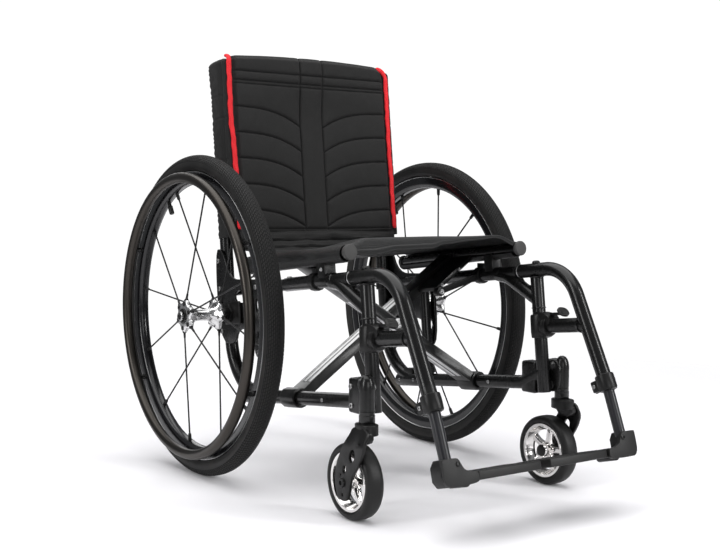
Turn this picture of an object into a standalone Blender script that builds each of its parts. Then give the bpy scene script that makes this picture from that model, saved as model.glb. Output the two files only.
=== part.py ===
"""Rigid-frame look, cross-folding manual wheelchair: tubes, wheels, casters, footrests, slings.

Metres, +Z up, the rider faces -Y, the rider's left is +X. The side frames stand at a small
rearward pitch about the rear axle, so their tubes are drawn in a pitched frame:
u runs forward along the seat, v runs up, and both are zero on the rear axle.
"""
import math

import bmesh
import bpy
from mathutils import Matrix, Vector

# ---- driving dimensions ---------------------------------------------------------------
WHEEL_RADIUS = 0.305
WHEEL_X = 0.277             # tyre's middle plane
FRAME_X = 0.189             # side tubes' middle plane
PITCH = math.radians(6.03)  # seat frame's front-up pitch
AXLE_Y = 0.18185            # rear axle, behind the middle of the whole chair
FIT = 0.0004                # gap between pieces that touch
LEFT_RIGHT = (("left", 1), ("right", -1))

UPPER_V = 0.045             # upper side tube and the hanger's top run
UPPER_R = 0.011
UPPER_FRONT_U = 0.395
LOWER_V = -0.160
TUBE_R = 0.0127             # lower side tube and hanger
MID_POST_U = 0.107
POST_U = 0.444              # front post, which the hanger swings about
POST_R = 0.012
POST_LOW_V = -0.178
BACK_U = -0.036             # back post
BACK_R = 0.0125
BACK_LOW_V = -0.050
BACK_TOP_V = 0.485
RAIL_X = 0.191              # seat rails
RAIL_V = 0.088
RAIL_R = 0.011
RAIL_U = (0.045, 0.405)
SADDLE_U = (0.314, 0.336)

ARM_A_U = (0.174, 0.216)    # cross brace that starts on the right lower tube
ARM_B_U = (0.218, 0.260)    # cross brace that starts on the left lower tube
ARM_PLATE_FRONT_U = 0.275
ARM_THICK = 0.018
LINK_U = (0.283, 0.297)
LINK_DOWN_ARM = 0.13        # link's free end, measured down the arm from the rail

HANGER_BEND_U = 0.470
HANGER_BEND_R = 0.076
HANGER_DROP = math.radians(70)
HANGER_LENGTH = 0.1777      # straight stretch below the bend
EXTENSION_R = 0.0095
EXTENSION_SPAN = (0.100, 0.2545)
STUB_V = -0.058
STUB_R = 0.013

PLATE_PIVOT = (0.162, 0.650, 0.0949)   # outward, forward of the axle, up
PLATE_TILT = math.radians(15)
PLATE_THICK = 0.013
PLATE_HALF_GAP = 0.010

CASTER_X = 0.2164
CASTER_STEM = 0.477         # forward of the rear axle
CASTER_AXLE = 0.4428
CASTER_RADIUS = 0.0635
CASTER_RIM_R = 0.0495
CROWN_Z = (0.1475, 0.1625)
HOUSING_Z = (0.163, 0.243)
LEG_X = (0.0192, 0.0241)

RIM_R = 0.2745
HANDRIM_X = 0.310
HANDRIM_R = 0.262
HANDRIM_TUBE_R = 0.010
NIPPLE_RING_R = (0.2495, 0.2517)
FLANGE_R = 0.032
OUTER_FLANGE_X = 0.3035
INNER_FLANGE_X = 0.2385
FIRST_OUTER_SPOKE = 21.0    # degrees above straight forward
SPOKE_STEP = 60
WHEEL_SIDES = 40            # flats round each rear wheel
SLEEVE_R = 0.012
AXLE_R = 0.006

BACK_V = (0.134, 0.4935)
SLING_U = (0.040, 0.400)

COLOURS = {
    "frame_black": ((0.020, 0.020, 0.022, 1), 0.32, 0.0),
    "dark_plastic": ((0.030, 0.030, 0.032, 1), 0.55, 0.0),
    "grey_plastic": ((0.110, 0.120, 0.110, 1), 0.50, 0.0),
    "polished": ((0.86, 0.86, 0.88, 1), 0.12, 1.0),
    "anodised": ((0.060, 0.054, 0.050, 1), 0.35, 0.6),
    "tyre_rubber": ((0.022, 0.022, 0.022, 1), 0.75, 0.0),
    "fabric_black": ((0.028, 0.028, 0.026, 1), 0.85, 0.0),
}


# ---- general helpers ------------------------------------------------------------------
def clear_scene():
    for obj in list(bpy.data.objects):
        bpy.data.objects.remove(obj, do_unlink=True)


def empty(name, location, pitch=0.0, parent=None):
    marker = bpy.data.objects.new(name, None)
    marker.location = location
    marker.rotation_euler = (-pitch, 0, 0)
    marker.parent = parent
    bpy.context.collection.objects.link(marker)
    return marker


def material_for(name, colour_name):
    colour, roughness, metallic = COLOURS[colour_name]
    material = bpy.data.materials.new(name)
    material.use_nodes = True
    shader = material.node_tree.nodes["Principled BSDF"]
    shader.inputs["Base Color"].default_value = colour
    shader.inputs["Roughness"].default_value = roughness
    shader.inputs["Metallic"].default_value = metallic
    return material


def mesh_of(bm):
    bmesh.ops.recalc_face_normals(bm, faces=bm.faces)
    mesh = bpy.data.meshes.new("shape")
    bm.to_mesh(mesh)
    bm.free()
    return mesh


def combine(mesh, other, operation):
    """Union or difference of two closed meshes, exact."""
    base = bpy.data.objects.new("base", mesh)
    tool = bpy.data.objects.new("tool", other)
    for obj in (base, tool):
        bpy.context.collection.objects.link(obj)
    modifier = base.modifiers.new("combine", "BOOLEAN")
    modifier.operation = operation
    modifier.solver = "EXACT"
    modifier.object = tool
    bpy.context.view_layer.update()
    evaluated = base.evaluated_get(bpy.context.evaluated_depsgraph_get())
    result = bpy.data.meshes.new_from_object(evaluated)
    for obj in (base, tool):
        bpy.data.objects.remove(obj, do_unlink=True)
    return result


def union(*meshes):
    result = meshes[0]
    for mesh in meshes[1:]:
        result = combine(result, mesh, "UNION")
    return result


def cut(mesh, *cutters):
    for cutter in cutters:
        mesh = combine(mesh, cutter, "DIFFERENCE")
    return mesh


def add_part(name, mesh, colour_name, pivot=(0, 0, 0), parent=None):
    """One sub-part, its origin on its pivot; the mesh is drawn in the parent's coordinates."""
    mesh = mesh.copy()
    mesh.transform(Matrix.Translation(-Vector(pivot)))
    mesh.name = name
    mesh.materials.clear()
    mesh.materials.append(material_for(name, colour_name))
    mesh.shade_smooth()
    mesh.set_sharp_from_angle(angle=math.radians(35))
    obj = bpy.data.objects.new(name, mesh)
    obj.location = pivot
    obj.parent = parent
    bpy.context.collection.objects.link(obj)
    return obj


def at(x, u, v):
    """A point of the pitched frame, as coordinates under its empty."""
    return Vector((x, -u, v))


def rounded_path(corners, radii, steps=5):
    """The corners joined by straight runs, each inner corner rounded to its radius."""
    points = [corners[0]]
    for before, corner, after, radius in zip(corners, corners[1:], corners[2:], radii):
        to_before = (before - corner).normalized()
        to_after = (after - corner).normalized()
        half = to_before.angle(to_after) / 2
        setback = radius / math.tan(half)
        middle = corner + (to_before + to_after).normalized() * radius / math.sin(half)
        start = (corner + to_before * setback - middle).normalized()
        end = (corner + to_after * setback - middle).normalized()
        for step in range(steps + 1):
            points.append(middle + start.slerp(end, step / steps) * radius)
    points.append(corners[-1])
    return points


def tube(points, radius, resolution=4):
    """A round bar along the points, with 2 * (resolution + 2) sides and closed ends."""
    curve = bpy.data.curves.new("route", "CURVE")
    curve.dimensions = "3D"
    curve.bevel_depth = radius
    curve.bevel_resolution = resolution
    curve.use_fill_caps = True
    spline = curve.splines.new("POLY")
    spline.points.add(len(points) - 1)
    for spline_point, point in zip(spline.points, points):
        spline_point.co = (*point, 1)
    route = bpy.data.objects.new("route", curve)
    bpy.context.collection.objects.link(route)
    bpy.context.view_layer.update()
    evaluated = route.evaluated_get(bpy.context.evaluated_depsgraph_get())
    mesh = bpy.data.meshes.new_from_object(evaluated)
    bpy.data.objects.remove(route, do_unlink=True)
    bm = bmesh.new()
    bm.from_mesh(mesh)
    bmesh.ops.remove_doubles(bm, verts=bm.verts, dist=0.00001)
    return mesh_of(bm)


def box(low, high):
    low, high = Vector(low), Vector(high)
    bm = bmesh.new()
    bmesh.ops.create_cube(bm, size=1)
    bmesh.ops.scale(bm, vec=[abs(h - l) for l, h in zip(low, high)], verts=bm.verts)
    bmesh.ops.translate(bm, vec=(low + high) / 2, verts=bm.verts)
    return mesh_of(bm)


def prism(outline, thickness_vector):
    """A flat outline of points, pushed out by a vector."""
    bm = bmesh.new()
    face = bm.faces.new([bm.verts.new(point) for point in outline])
    pushed = bmesh.ops.extrude_face_region(bm, geom=[face])["geom"]
    bmesh.ops.translate(
        bm, vec=thickness_vector, verts=[v for v in pushed if isinstance(v, bmesh.types.BMVert)]
    )
    return mesh_of(bm)


def turned(profile, centre, segments, closed=True):
    """A profile of (x, radius) pairs turned about the X axis through centre, with a flat down.

    A closed profile is a ring; an open one starts and ends on the axis. The radii are
    those of the flats' middles, so the shape is as tall as its radius says.
    """
    half = math.pi / segments
    bm = bmesh.new()
    direction = Vector((0, math.sin(half), -math.cos(half))) / math.cos(half)
    verts = [bm.verts.new(Vector((x, 0, 0)) + direction * radius) for x, radius in profile]
    edges = [bm.edges.new(pair) for pair in zip(verts, verts[1:])]
    if closed:
        edges.append(bm.edges.new((verts[-1], verts[0])))
    bmesh.ops.spin(
        bm, geom=verts + edges, cent=(0, 0, 0), axis=(1, 0, 0),
        angle=math.tau, steps=segments, use_merge=True,
    )
    bmesh.ops.remove_doubles(bm, verts=bm.verts, dist=0.00002)
    bmesh.ops.translate(bm, vec=centre, verts=bm.verts)
    return mesh_of(bm)


def cylinder(start, end, radius, segments=16):
    start, end = Vector(start), Vector(end)
    bm = bmesh.new()
    bmesh.ops.create_cone(
        bm, cap_ends=True, segments=segments, radius1=radius, radius2=radius,
        depth=(end - start).length,
    )
    turn = Vector((0, 0, 1)).rotation_difference(end - start).to_matrix().to_4x4()
    bmesh.ops.transform(bm, matrix=Matrix.Translation((start + end) / 2) @ turn, verts=bm.verts)
    return mesh_of(bm)


# ---- side frames ----------------------------------------------------------------------
def lower_tube_path(x):
    corners = [
        at(x, BACK_U, BACK_LOW_V - FIT), at(x, BACK_U, LOWER_V),
        at(x, 0.393, LOWER_V), at(x, POST_U, -0.1400),
    ]
    return rounded_path(corners, (0.1095, 0.05))


def straight(x, u_range, v, radius):
    return tube([at(x, u_range[0], v), at(x, u_range[1], v)], radius)


def upright(x, u, v_range, radius):
    return tube([at(x, u, v_range[0]), at(x, u, v_range[1])], radius)


def build_side_frame(side, s, frame):
    x = s * FRAME_X
    back_cut = upright(x, BACK_U, (BACK_LOW_V - 0.02, BACK_TOP_V), BACK_R + FIT)
    lower_cut = straight(x, (0.05, 0.38), LOWER_V, TUBE_R + FIT)
    post_cut = upright(x, POST_U, (POST_LOW_V - 0.01, 0.04), POST_R + FIT)

    add_part(f"{side}_back_post", upright(x, BACK_U, (BACK_LOW_V, BACK_TOP_V), BACK_R),
             "frame_black", parent=frame)
    add_part(f"{side}_lower_tube", cut(tube(lower_tube_path(x), TUBE_R), post_cut),
             "frame_black", parent=frame)

    upper = straight(x, (BACK_U, UPPER_FRONT_U), UPPER_V, UPPER_R)
    mid_post = upright(x, MID_POST_U, (LOWER_V, UPPER_V), 0.010)
    add_part(f"{side}_upper_tube", cut(union(upper, mid_post), back_cut, lower_cut),
             "frame_black", parent=frame)

    post = upright(x, POST_U, (POST_LOW_V, UPPER_V - TUBE_R - 0.001), POST_R)
    gusset_route = rounded_path(
        [at(x, 0.352, 0.042), at(x, 0.372, 0.031), at(x, POST_U, -0.0075)], (0.03,)
    )
    gusset = tube(gusset_route, 0.0095)
    upper_cut = straight(x, (0.2, UPPER_FRONT_U + FIT), UPPER_V, UPPER_R + FIT)
    add_part(f"{side}_front_post", cut(union(post, gusset), upper_cut),
             "frame_black", parent=frame)

    saddle = box(at(x - 0.0115, SADDLE_U[0], UPPER_V), at(x + 0.0115, SADDLE_U[1], 0.082))
    rail_cut = straight(s * RAIL_X, (0.2, 0.4), RAIL_V, RAIL_R + FIT)
    whole_upper_cut = straight(x, (0.2, 0.4), UPPER_V, UPPER_R + FIT)
    add_part(f"{side}_rail_saddle", cut(saddle, whole_upper_cut, rail_cut),
             "dark_plastic", parent=frame)
    build_axle_mount(side, s, frame)
    build_caster_housing(side, s)


def build_axle_mount(side, s, frame):
    plate_x = (0.2020, 0.2075)
    corners = [
        (-0.052, -0.052), (-0.052, 0.128), (-0.022, 0.128), (0.002, 0.066),
        (0.122, 0.060), (0.122, -0.088), (0.090, -0.088), (0.000, -0.058),
    ]
    outline = [at(s * plate_x[0], u, v) for u, v in corners]
    plate = prism(outline, (s * (plate_x[1] - plate_x[0]), 0, 0))
    hole = cylinder(at(s * 0.19, 0, 0), at(s * 0.22, 0, 0), SLEEVE_R + 2 * FIT)
    slots = [
        tube([at(s * 0.19, u_mid, v), at(s * 0.22, u_mid, v)], 0.009) for u_mid, v in
        ((0.052, 0.020), (0.052, -0.030))
    ]
    add_part(f"{side}_axle_plate", cut(plate, hole, *slots), "frame_black", parent=frame)

    sleeve = cylinder(at(s * 0.180, 0, 0), at(s * 0.2235, 0, 0), SLEEVE_R)
    bore = cylinder(at(s * 0.170, 0, 0), at(s * 0.240, 0, 0), AXLE_R + 2 * FIT)
    add_part(f"{side}_axle_sleeve", cut(sleeve, bore), "dark_plastic", parent=frame)


def forward_point(x, forward, z):
    """A world point given by its distance in front of the rear axle."""
    return Vector((x, AXLE_Y - forward, z))


def build_caster_housing(side, s):
    x = s * CASTER_X
    barrel = cylinder(
        forward_point(x, CASTER_STEM, HOUSING_Z[0]), forward_point(x, CASTER_STEM, HOUSING_Z[1]), 0.0125
    )
    bracket = box(
        forward_point(s * 0.2023, 0.442, 0.178), forward_point(s * 0.2075, 0.482, 0.232)
    )
    bore = cylinder(
        forward_point(x, CASTER_STEM, HOUSING_Z[0] - 0.01), forward_point(x, CASTER_STEM, 0.2385), 0.0080
    )
    add_part(f"{side}_caster_housing", cut(union(barrel, bracket), bore), "frame_black")


# ---- casters --------------------------------------------------------------------------
def caster_leg_outline(x):
    corners = [
        (0.503, 0.160), (0.505, 0.134), (0.499, 0.117), (0.485, 0.099), (0.466, 0.076),
        (0.461, 0.046), (0.452, 0.034), (0.434, 0.034), (0.423, 0.048), (0.421, 0.080),
        (0.430, 0.105), (0.445, 0.126), (0.458, 0.146), (0.458, 0.160),
    ]
    return [forward_point(x, forward, z) for forward, z in corners]


def build_caster(side, s):
    """A fork with one arm, outside the wheel, and the wheel that turns on its bolt."""
    x = s * CASTER_X
    stem_pivot = forward_point(x, CASTER_STEM, CROWN_Z[1])
    axle_pivot = forward_point(x, CASTER_AXLE, CASTER_RADIUS)
    crown = box(
        forward_point(x - s * 0.0130, 0.455, CROWN_Z[0]),
        forward_point(x + s * LEG_X[1], 0.502, CROWN_Z[1]),
    )
    stem = cylinder(
        forward_point(x, CASTER_STEM, 0.155), forward_point(x, CASTER_STEM, 0.236), 0.0070
    )
    leg = prism(caster_leg_outline(x + s * LEG_X[0]), (s * (LEG_X[1] + 0.0006 - LEG_X[0]), 0, 0))
    across = Vector((0.04, 0, 0))
    holes = [
        cylinder(forward_point(x, forward, z) - across, forward_point(x, forward, z) + across, radius, 12)
        for forward, z, radius in ((0.471, 0.112, 0.0085), (0.449, 0.087, 0.0055))
    ]
    axle_hole = cylinder(axle_pivot - across, axle_pivot + across, 0.0052, 12)
    fork = cut(union(crown, stem, leg), axle_hole, *holes)
    add_part(f"{side}_caster_fork", fork, "frame_black", pivot=stem_pivot)

    bolt_profile = [
        (-0.0198, 0), (-0.0198, 0.0098), (-0.0188, 0.0108), (-0.0170, 0.0108), (-0.0170, 0.0044),
        (0.0252, 0.0044), (0.0252, 0.0075), (0.0285, 0.0075), (0.0285, 0),
    ]
    bolt = turned([(s * px, radius) for px, radius in bolt_profile], axle_pivot, 12, closed=False)
    add_part(f"{side}_caster_axle", bolt, "dark_plastic", pivot=axle_pivot)

    rim_profile = [
        (-0.0165, 0.0056), (-0.0165, 0.011), (-0.004, 0.012), (-0.004, 0.0405),
        (-0.014, 0.0425), (-0.014, CASTER_RIM_R), (0.014, CASTER_RIM_R),
        (0.014, 0.0425), (0.004, 0.0405), (0.004, 0.012), (0.0165, 0.011), (0.0165, 0.0056),
    ]
    rim = turned(rim_profile, axle_pivot, 20)
    add_part(f"{side}_caster_rim", cut(rim, *caster_windows(axle_pivot)), "polished", pivot=axle_pivot)

    tyre_profile = [
        (-0.0135, CASTER_RIM_R + FIT), (-0.0162, 0.0545), (-0.0140, 0.0605), (-0.0060, CASTER_RADIUS),
        (0.0060, CASTER_RADIUS), (0.0140, 0.0605), (0.0162, 0.0545), (0.0135, CASTER_RIM_R + FIT),
    ]
    add_part(f"{side}_caster_tyre", turned(tyre_profile, axle_pivot, 20), "tyre_rubber",
             pivot=axle_pivot)


def caster_windows(centre, count=5):
    """Cutters for the openings between the caster wheel's spokes."""
    cutters = []
    for index in range(count):
        middle = math.tau * (index + 0.5) / count
        outline = []
        for radius, spread in ((0.019, -0.30), (0.036, -0.42), (0.0372, 0), (0.036, 0.42), (0.019, 0.30)):
            angle = middle + spread
            outline.append(centre + Vector((-0.02, radius * math.cos(angle), radius * math.sin(angle))))
        cutters.append(prism(outline, (0.04, 0, 0)))
    return cutters


# ---- rear wheels ----------------------------------------------------------------------
def build_wheel(side, s):
    hub = Vector((0, AXLE_Y, WHEEL_RADIUS))
    x = s * WHEEL_X
    middle = hub + Vector((x, 0, 0))

    tyre_profile = [
        (-0.0115, RIM_R + FIT), (-0.0175, 0.2850), (-0.0150, 0.2980), (-0.0050, WHEEL_RADIUS),
        (0.0050, WHEEL_RADIUS), (0.0150, 0.2980), (0.0175, 0.2850), (0.0115, RIM_R + FIT),
    ]
    add_part(f"{side}_wheel_tyre", turned(tyre_profile, middle, WHEEL_SIDES), "tyre_rubber",
             pivot=middle)

    rim_profile = [
        (-0.0080, NIPPLE_RING_R[1] + FIT), (-0.0122, 0.2600), (-0.0125, RIM_R),
        (0.0125, RIM_R), (0.0122, 0.2600), (0.0080, NIPPLE_RING_R[1] + FIT),
    ]
    add_part(f"{side}_wheel_rim", turned(rim_profile, middle, WHEEL_SIDES), "frame_black", pivot=middle)

    hub_profile = [
        (0.2245, 0.0140), (0.2345, 0.0140), (0.2350, FLANGE_R), (0.2420, FLANGE_R),
        (0.2520, 0.0115), (0.2900, 0.0115), (0.3000, FLANGE_R), (0.3070, FLANGE_R),
        (0.3075, 0.0145), (0.3088, 0.0135), (0.3088, 0.0076), (0.2245, 0.0076),
    ]
    hub_mesh = turned([(s * px, radius) for px, radius in hub_profile], hub, 16)
    add_part(f"{side}_wheel_hub", hub_mesh, "polished", pivot=middle)
    add_part(f"{side}_wheel_spokes", spoke_set(s, middle), "frame_black", pivot=middle)
    add_part(f"{side}_handrim", handrim(s, middle), "anodised", pivot=middle)

    axle_profile = [
        (0.1760, 0), (0.1760, 0.0048), (0.1785, AXLE_R), (0.3122, AXLE_R), (0.3122, 0.0095),
        (0.3152, 0.0095), (0.3165, 0.0085), (0.3165, 0.0054), (0.3085, 0.0054), (0.3085, 0),
    ]
    axle = turned([(s * px, radius) for px, radius in axle_profile], hub, 12, closed=False)
    add_part(f"{side}_wheel_axle", axle, "polished", pivot=middle)
    button_profile = [(0.3130, 0), (0.3130, 0.0046), (0.3188, 0.0046), (0.3195, 0.0038), (0.3195, 0)]
    button = turned([(s * px, radius) for px, radius in button_profile], hub, 10, closed=False)
    add_part(f"{side}_axle_button", button, "dark_plastic", pivot=middle)


def face_at(bm, centre, angle, test):
    """The face of a turned ring that lies at an angle about X and passes a test."""
    direction = Vector((0, -math.cos(angle), math.sin(angle)))
    return max(
        (face for face in bm.faces if test(face)),
        key=lambda face: (face.calc_center_median() - centre).normalized().dot(direction),
    )


def extrude_to(bm, face, corners):
    """Push one four-sided face out and set its new corners, nearest to nearest."""
    new_face = bmesh.ops.extrude_discrete_faces(bm, faces=[face])["faces"][0]
    targets = list(corners)
    middle = sum(targets, Vector()) / len(targets)
    own_middle = new_face.calc_center_median()
    for vert in new_face.verts:
        best = max(targets, key=lambda p: (p - middle).dot(vert.co - own_middle))
        targets.remove(best)
        vert.co = best
    return new_face


def square(centre, side_vector, other_vector):
    return [centre + a * side_vector + b * other_vector for a, b in ((-1, -1), (1, -1), (1, 1), (-1, 1))]


def spoke_set(s, middle):
    """Twelve straight spokes with their nipples, standing on a thin ring inside the rim."""
    inner, outer = NIPPLE_RING_R
    profile = [(-0.008, inner), (0.008, inner), (0.008, outer), (-0.008, outer)]
    mesh = turned(profile, middle, WHEEL_SIDES)
    bm = bmesh.new()
    bm.from_mesh(mesh)
    bm.faces.ensure_lookup_table()
    across = Vector((1, 0, 0))
    for index in range(12):
        angle = math.radians(FIRST_OUTER_SPOKE + index * SPOKE_STEP / 2)
        flange_x = OUTER_FLANGE_X if index % 2 == 0 else INNER_FLANGE_X
        out = Vector((0, -math.cos(angle), math.sin(angle)))
        along = Vector((0, math.sin(angle), math.cos(angle)))
        face = face_at(
            bm, middle, angle,
            lambda f: abs(f.normal.x) < 0.1 and (f.calc_center_median() - middle).length < inner + 0.001,
        )
        facet = (face.calc_center_median() - middle).normalized()
        root = middle + out * (inner / out.dot(facet))
        end = middle + out * (FLANGE_R + 0.0012) + across * (s * flange_x - middle.x)
        for place, half_width in ((root, 0.0024), (end, 0.0014)):
            level = (along - facet * along.dot(facet)).normalized() if place is root else along
            face = extrude_to(bm, face, square(place, across * half_width, level * half_width))
    return mesh_of(bm)


def handrim(s, middle):
    """The pushing ring, with six tabs that reach the side of the rim."""
    ring_x = s * (HANDRIM_X - WHEEL_X)
    profile = []
    for index in range(6):
        angle = math.tau * (index + 0.5) / 6
        profile.append((ring_x + HANDRIM_TUBE_R * math.cos(angle), HANDRIM_R + HANDRIM_TUBE_R * math.sin(angle)))
    mesh = turned(profile, middle, WHEEL_SIDES)
    bm = bmesh.new()
    bm.from_mesh(mesh)
    bm.faces.ensure_lookup_table()
    for index in range(6):
        angle = math.radians(33 + 60 * index)
        out = Vector((0, -math.cos(angle), math.sin(angle)))
        along = Vector((0, math.sin(angle), math.cos(angle)))
        face = face_at(bm, middle + Vector((ring_x, 0, 0)), angle, lambda f: f.normal.x * s < -0.9)
        start_x = ring_x - s * HANDRIM_TUBE_R * math.cos(math.pi / 6)
        end_x = s * (0.0125 + 2 * FIT)
        for place_x, half_width in ((start_x, 0.0060), (end_x, 0.0060)):
            place = middle + out * HANDRIM_R + Vector((place_x, 0, 0))
            face = extrude_to(bm, face, square(place, along * half_width, out * 0.0034))
    return mesh_of(bm)


# ---- cross brace, seat rails and folding links ----------------------------------------
def arm_direction(s):
    """Unit vector up an arm that starts on side s and ends on the other side's rail."""
    return (at(-s * RAIL_X, 0, RAIL_V) - at(s * FRAME_X, 0, LOWER_V)).normalized()


def centre_pivot():
    start = at(FRAME_X, 0, LOWER_V)
    along = arm_direction(1)
    return start + along * (-start.x / along.x)


def build_arm(name, s, u_range, frame):
    start = at(s * FRAME_X, 0, LOWER_V)
    end = at(-s * RAIL_X, 0, RAIL_V)
    along = arm_direction(s)
    normal = Vector((-along.z, 0, along.x)) * (1 if along.x > 0 else -1)

    def bar(first, last, u_low, u_high, thickness):
        corners = [first - normal * thickness / 2, last - normal * thickness / 2,
                   last + normal * thickness / 2, first + normal * thickness / 2]
        return prism([point + at(0, u_low, 0) for point in corners], at(0, u_high - u_low, 0))

    sleeve = straight(s * FRAME_X, (u_range[0] - 0.004 if s < 0 else u_range[0] + 0.0005,
                                    u_range[1] - 0.0005 if s < 0 else u_range[1] + 0.004),
                      LOWER_V, 0.0185)
    main = bar(start + along * 0.015, end, u_range[0], u_range[1], ARM_THICK)
    plate = bar(end - along * 0.12, end, u_range[0] + 0.001, ARM_PLATE_FRONT_U, 0.008)
    pivot = centre_pivot()
    solid = union(main, sleeve, plate)
    solid = cut(
        solid,
        straight(s * FRAME_X, (0.1, 0.35), LOWER_V, 0.0137),
        straight(-s * RAIL_X, (0.1, 0.35), RAIL_V, RAIL_R + FIT),
        cylinder(pivot + at(0, 0.1, 0), pivot + at(0, 0.35, 0), 0.0067),
    )
    hinge = start if name == "cross_arm_b" else pivot
    add_part(name, solid, "frame_black", pivot=hinge, parent=frame)


def build_centre_bolt(frame):
    pivot = centre_pivot()
    shaft = cylinder(pivot + at(0, 0.168, 0), pivot + at(0, 0.266, 0), 0.0060)
    heads = [
        cylinder(pivot + at(0, low, 0), pivot + at(0, high, 0), 0.0105)
        for low, high in ((0.1660, ARM_A_U[0] - FIT), (ARM_B_U[1] + FIT, 0.2680))
    ]
    add_part("centre_bolt", union(shaft, *heads), "polished", pivot=pivot, parent=frame)


def link_ends(s):
    hinge = at(s * FRAME_X, 0, UPPER_V)
    free = at(s * RAIL_X, 0, RAIL_V) - arm_direction(-s) * LINK_DOWN_ARM
    return hinge, free


def build_fold_link(side, s, frame):
    hinge, free = link_ends(s)
    low, high = at(0, LINK_U[0], 0), at(0, LINK_U[1], 0)
    along = (free - hinge).normalized()
    normal = Vector((-along.z, 0, along.x))
    first, last = hinge + along * 0.012, free
    corners = [first - normal * 0.0055, last - normal * 0.0055, last + normal * 0.0055, first + normal * 0.0055]
    bar = prism([point + at(0, 0.286, 0) for point in corners], at(0, 0.008, 0))
    clamp = straight(s * FRAME_X, LINK_U, UPPER_V, 0.0165)
    eye = cylinder(free + low, free + high, 0.0085)
    bore = straight(s * FRAME_X, (0.25, 0.33), UPPER_V, 0.0119)
    add_part(f"{side}_fold_link", cut(union(bar, clamp, eye), bore), "frame_black",
             pivot=hinge, parent=frame)


def build_seat_rail(side, s, frame):
    rail = straight(s * RAIL_X, RAIL_U, RAIL_V, RAIL_R)
    add_part(f"{side}_seat_rail", rail, "frame_black", parent=frame)


# ---- soft parts -----------------------------------------------------------------------
def build_soft_parts(frame):
    half_width = 0.196
    sling = box(at(-half_width, SLING_U[0], RAIL_V + RAIL_R + 0.0006),
                at(half_width, SLING_U[1], RAIL_V + RAIL_R + 0.0056))
    add_part("seat_sling", sling, "fabric_black", parent=frame)

    corners = [
        (-0.204, -0.0495), (-0.172, -0.0495), (-0.172, 0.0), (0.172, 0.0),
        (0.172, -0.0495), (0.204, -0.0495), (0.204, 0.0215), (-0.204, 0.0215),
    ]
    outline = [at(x, u, BACK_V[0]) for x, u in corners]
    back = prism(outline, at(0, 0, BACK_V[1] - BACK_V[0]))
    pockets = [
        upright(s * FRAME_X, BACK_U, (BACK_V[0] - 0.02, BACK_TOP_V + FIT), BACK_R + FIT)
        for _, s in LEFT_RIGHT
    ]
    add_part("back_upholstery", cut(back, *pockets), "fabric_black", parent=frame)


# ---- swing-away footrests -------------------------------------------------------------
def bend_end():
    u = HANGER_BEND_U + HANGER_BEND_R * math.sin(HANGER_DROP)
    v = UPPER_V - HANGER_BEND_R * (1 - math.cos(HANGER_DROP))
    return u, v


def down_tube_point(x, distance):
    """A point on the hanger's straight lower stretch, measured from the end of its bend."""
    u, v = bend_end()
    return at(x, u + distance * math.cos(HANGER_DROP), v - distance * math.sin(HANGER_DROP))


def build_hanger(side, s, frame):
    x = s * FRAME_X
    swing_pivot = at(x, POST_U, 0)
    setback = HANGER_BEND_R * math.tan(HANGER_DROP / 2)
    corners = [at(x, 0.402, UPPER_V), at(x, HANGER_BEND_U + setback, UPPER_V), down_tube_point(x, HANGER_LENGTH)]
    route = rounded_path(corners, (HANGER_BEND_R,), steps=6)
    stub_front_u = bend_end()[0] + (bend_end()[1] - STUB_V) / math.tan(HANGER_DROP)
    stub = straight(x, (0.470, stub_front_u), STUB_V, STUB_R)
    bore = tube([down_tube_point(x, 0.075), down_tube_point(x, HANGER_LENGTH + 0.02)], EXTENSION_R + 0.0006)
    add_part(f"{side}_hanger_tube", cut(union(tube(route, TUBE_R), stub), bore),
             "frame_black", pivot=swing_pivot, parent=frame)

    collar = upright(x, POST_U, (-0.078, -0.036), 0.0195)
    block = box(at(x - 0.012, 0.450, -0.072), at(x + 0.012, 0.4695, -0.044))
    bore_cut = upright(x, POST_U, (-0.10, 0.0), 0.0129)
    rear_cut = box(at(x - 0.03, 0.41, -0.10), at(x + 0.03, 0.4365, 0.0))
    add_part(f"{side}_hanger_latch", cut(union(collar, block), bore_cut, rear_cut),
             "dark_plastic", pivot=swing_pivot, parent=frame)

    lever_pivot = at(x, 0.480, -0.036)
    paddle = box(at(x - 0.0105, 0.496, -0.0390), at(x + 0.0105, 0.5215, -0.0330))
    neck = box(at(x - 0.0060, 0.474, -0.0405), at(x + 0.0060, 0.503, -0.0340))
    add_part(f"{side}_release_lever", union(paddle, neck), "grey_plastic",
             pivot=lever_pivot, parent=frame)

    clamp = tube([down_tube_point(x, 0.149), down_tube_point(x, 0.176)], 0.0162)
    boss = box(at(x - 0.009, 0.5715, -0.1640), at(x + 0.009, 0.5950, -0.1480))
    clamp_bore = tube([down_tube_point(x, 0.12), down_tube_point(x, 0.20)], TUBE_R + FIT)
    add_part(f"{side}_extension_clamp", cut(union(clamp, boss), clamp_bore),
             "dark_plastic", pivot=swing_pivot, parent=frame)


def plate_frame(s):
    """Matrix from the footplate's own axes (outward, fore, up) to the world."""
    outward, forward, up = PLATE_PIVOT
    origin = forward_point(s * outward, forward, up)
    fore = Vector((0, -math.cos(PLATE_TILT), math.sin(PLATE_TILT)))
    normal = Vector((0, math.sin(PLATE_TILT), math.cos(PLATE_TILT)))
    rotation = Matrix((Vector((s, 0, 0)), fore, normal)).transposed().to_4x4()
    return Matrix.Translation(origin) @ rotation


def placed(mesh, matrix):
    """The mesh moved by a matrix, with its faces kept pointing outwards."""
    mesh.transform(matrix)
    bm = bmesh.new()
    bm.from_mesh(mesh)
    return mesh_of(bm)


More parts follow.
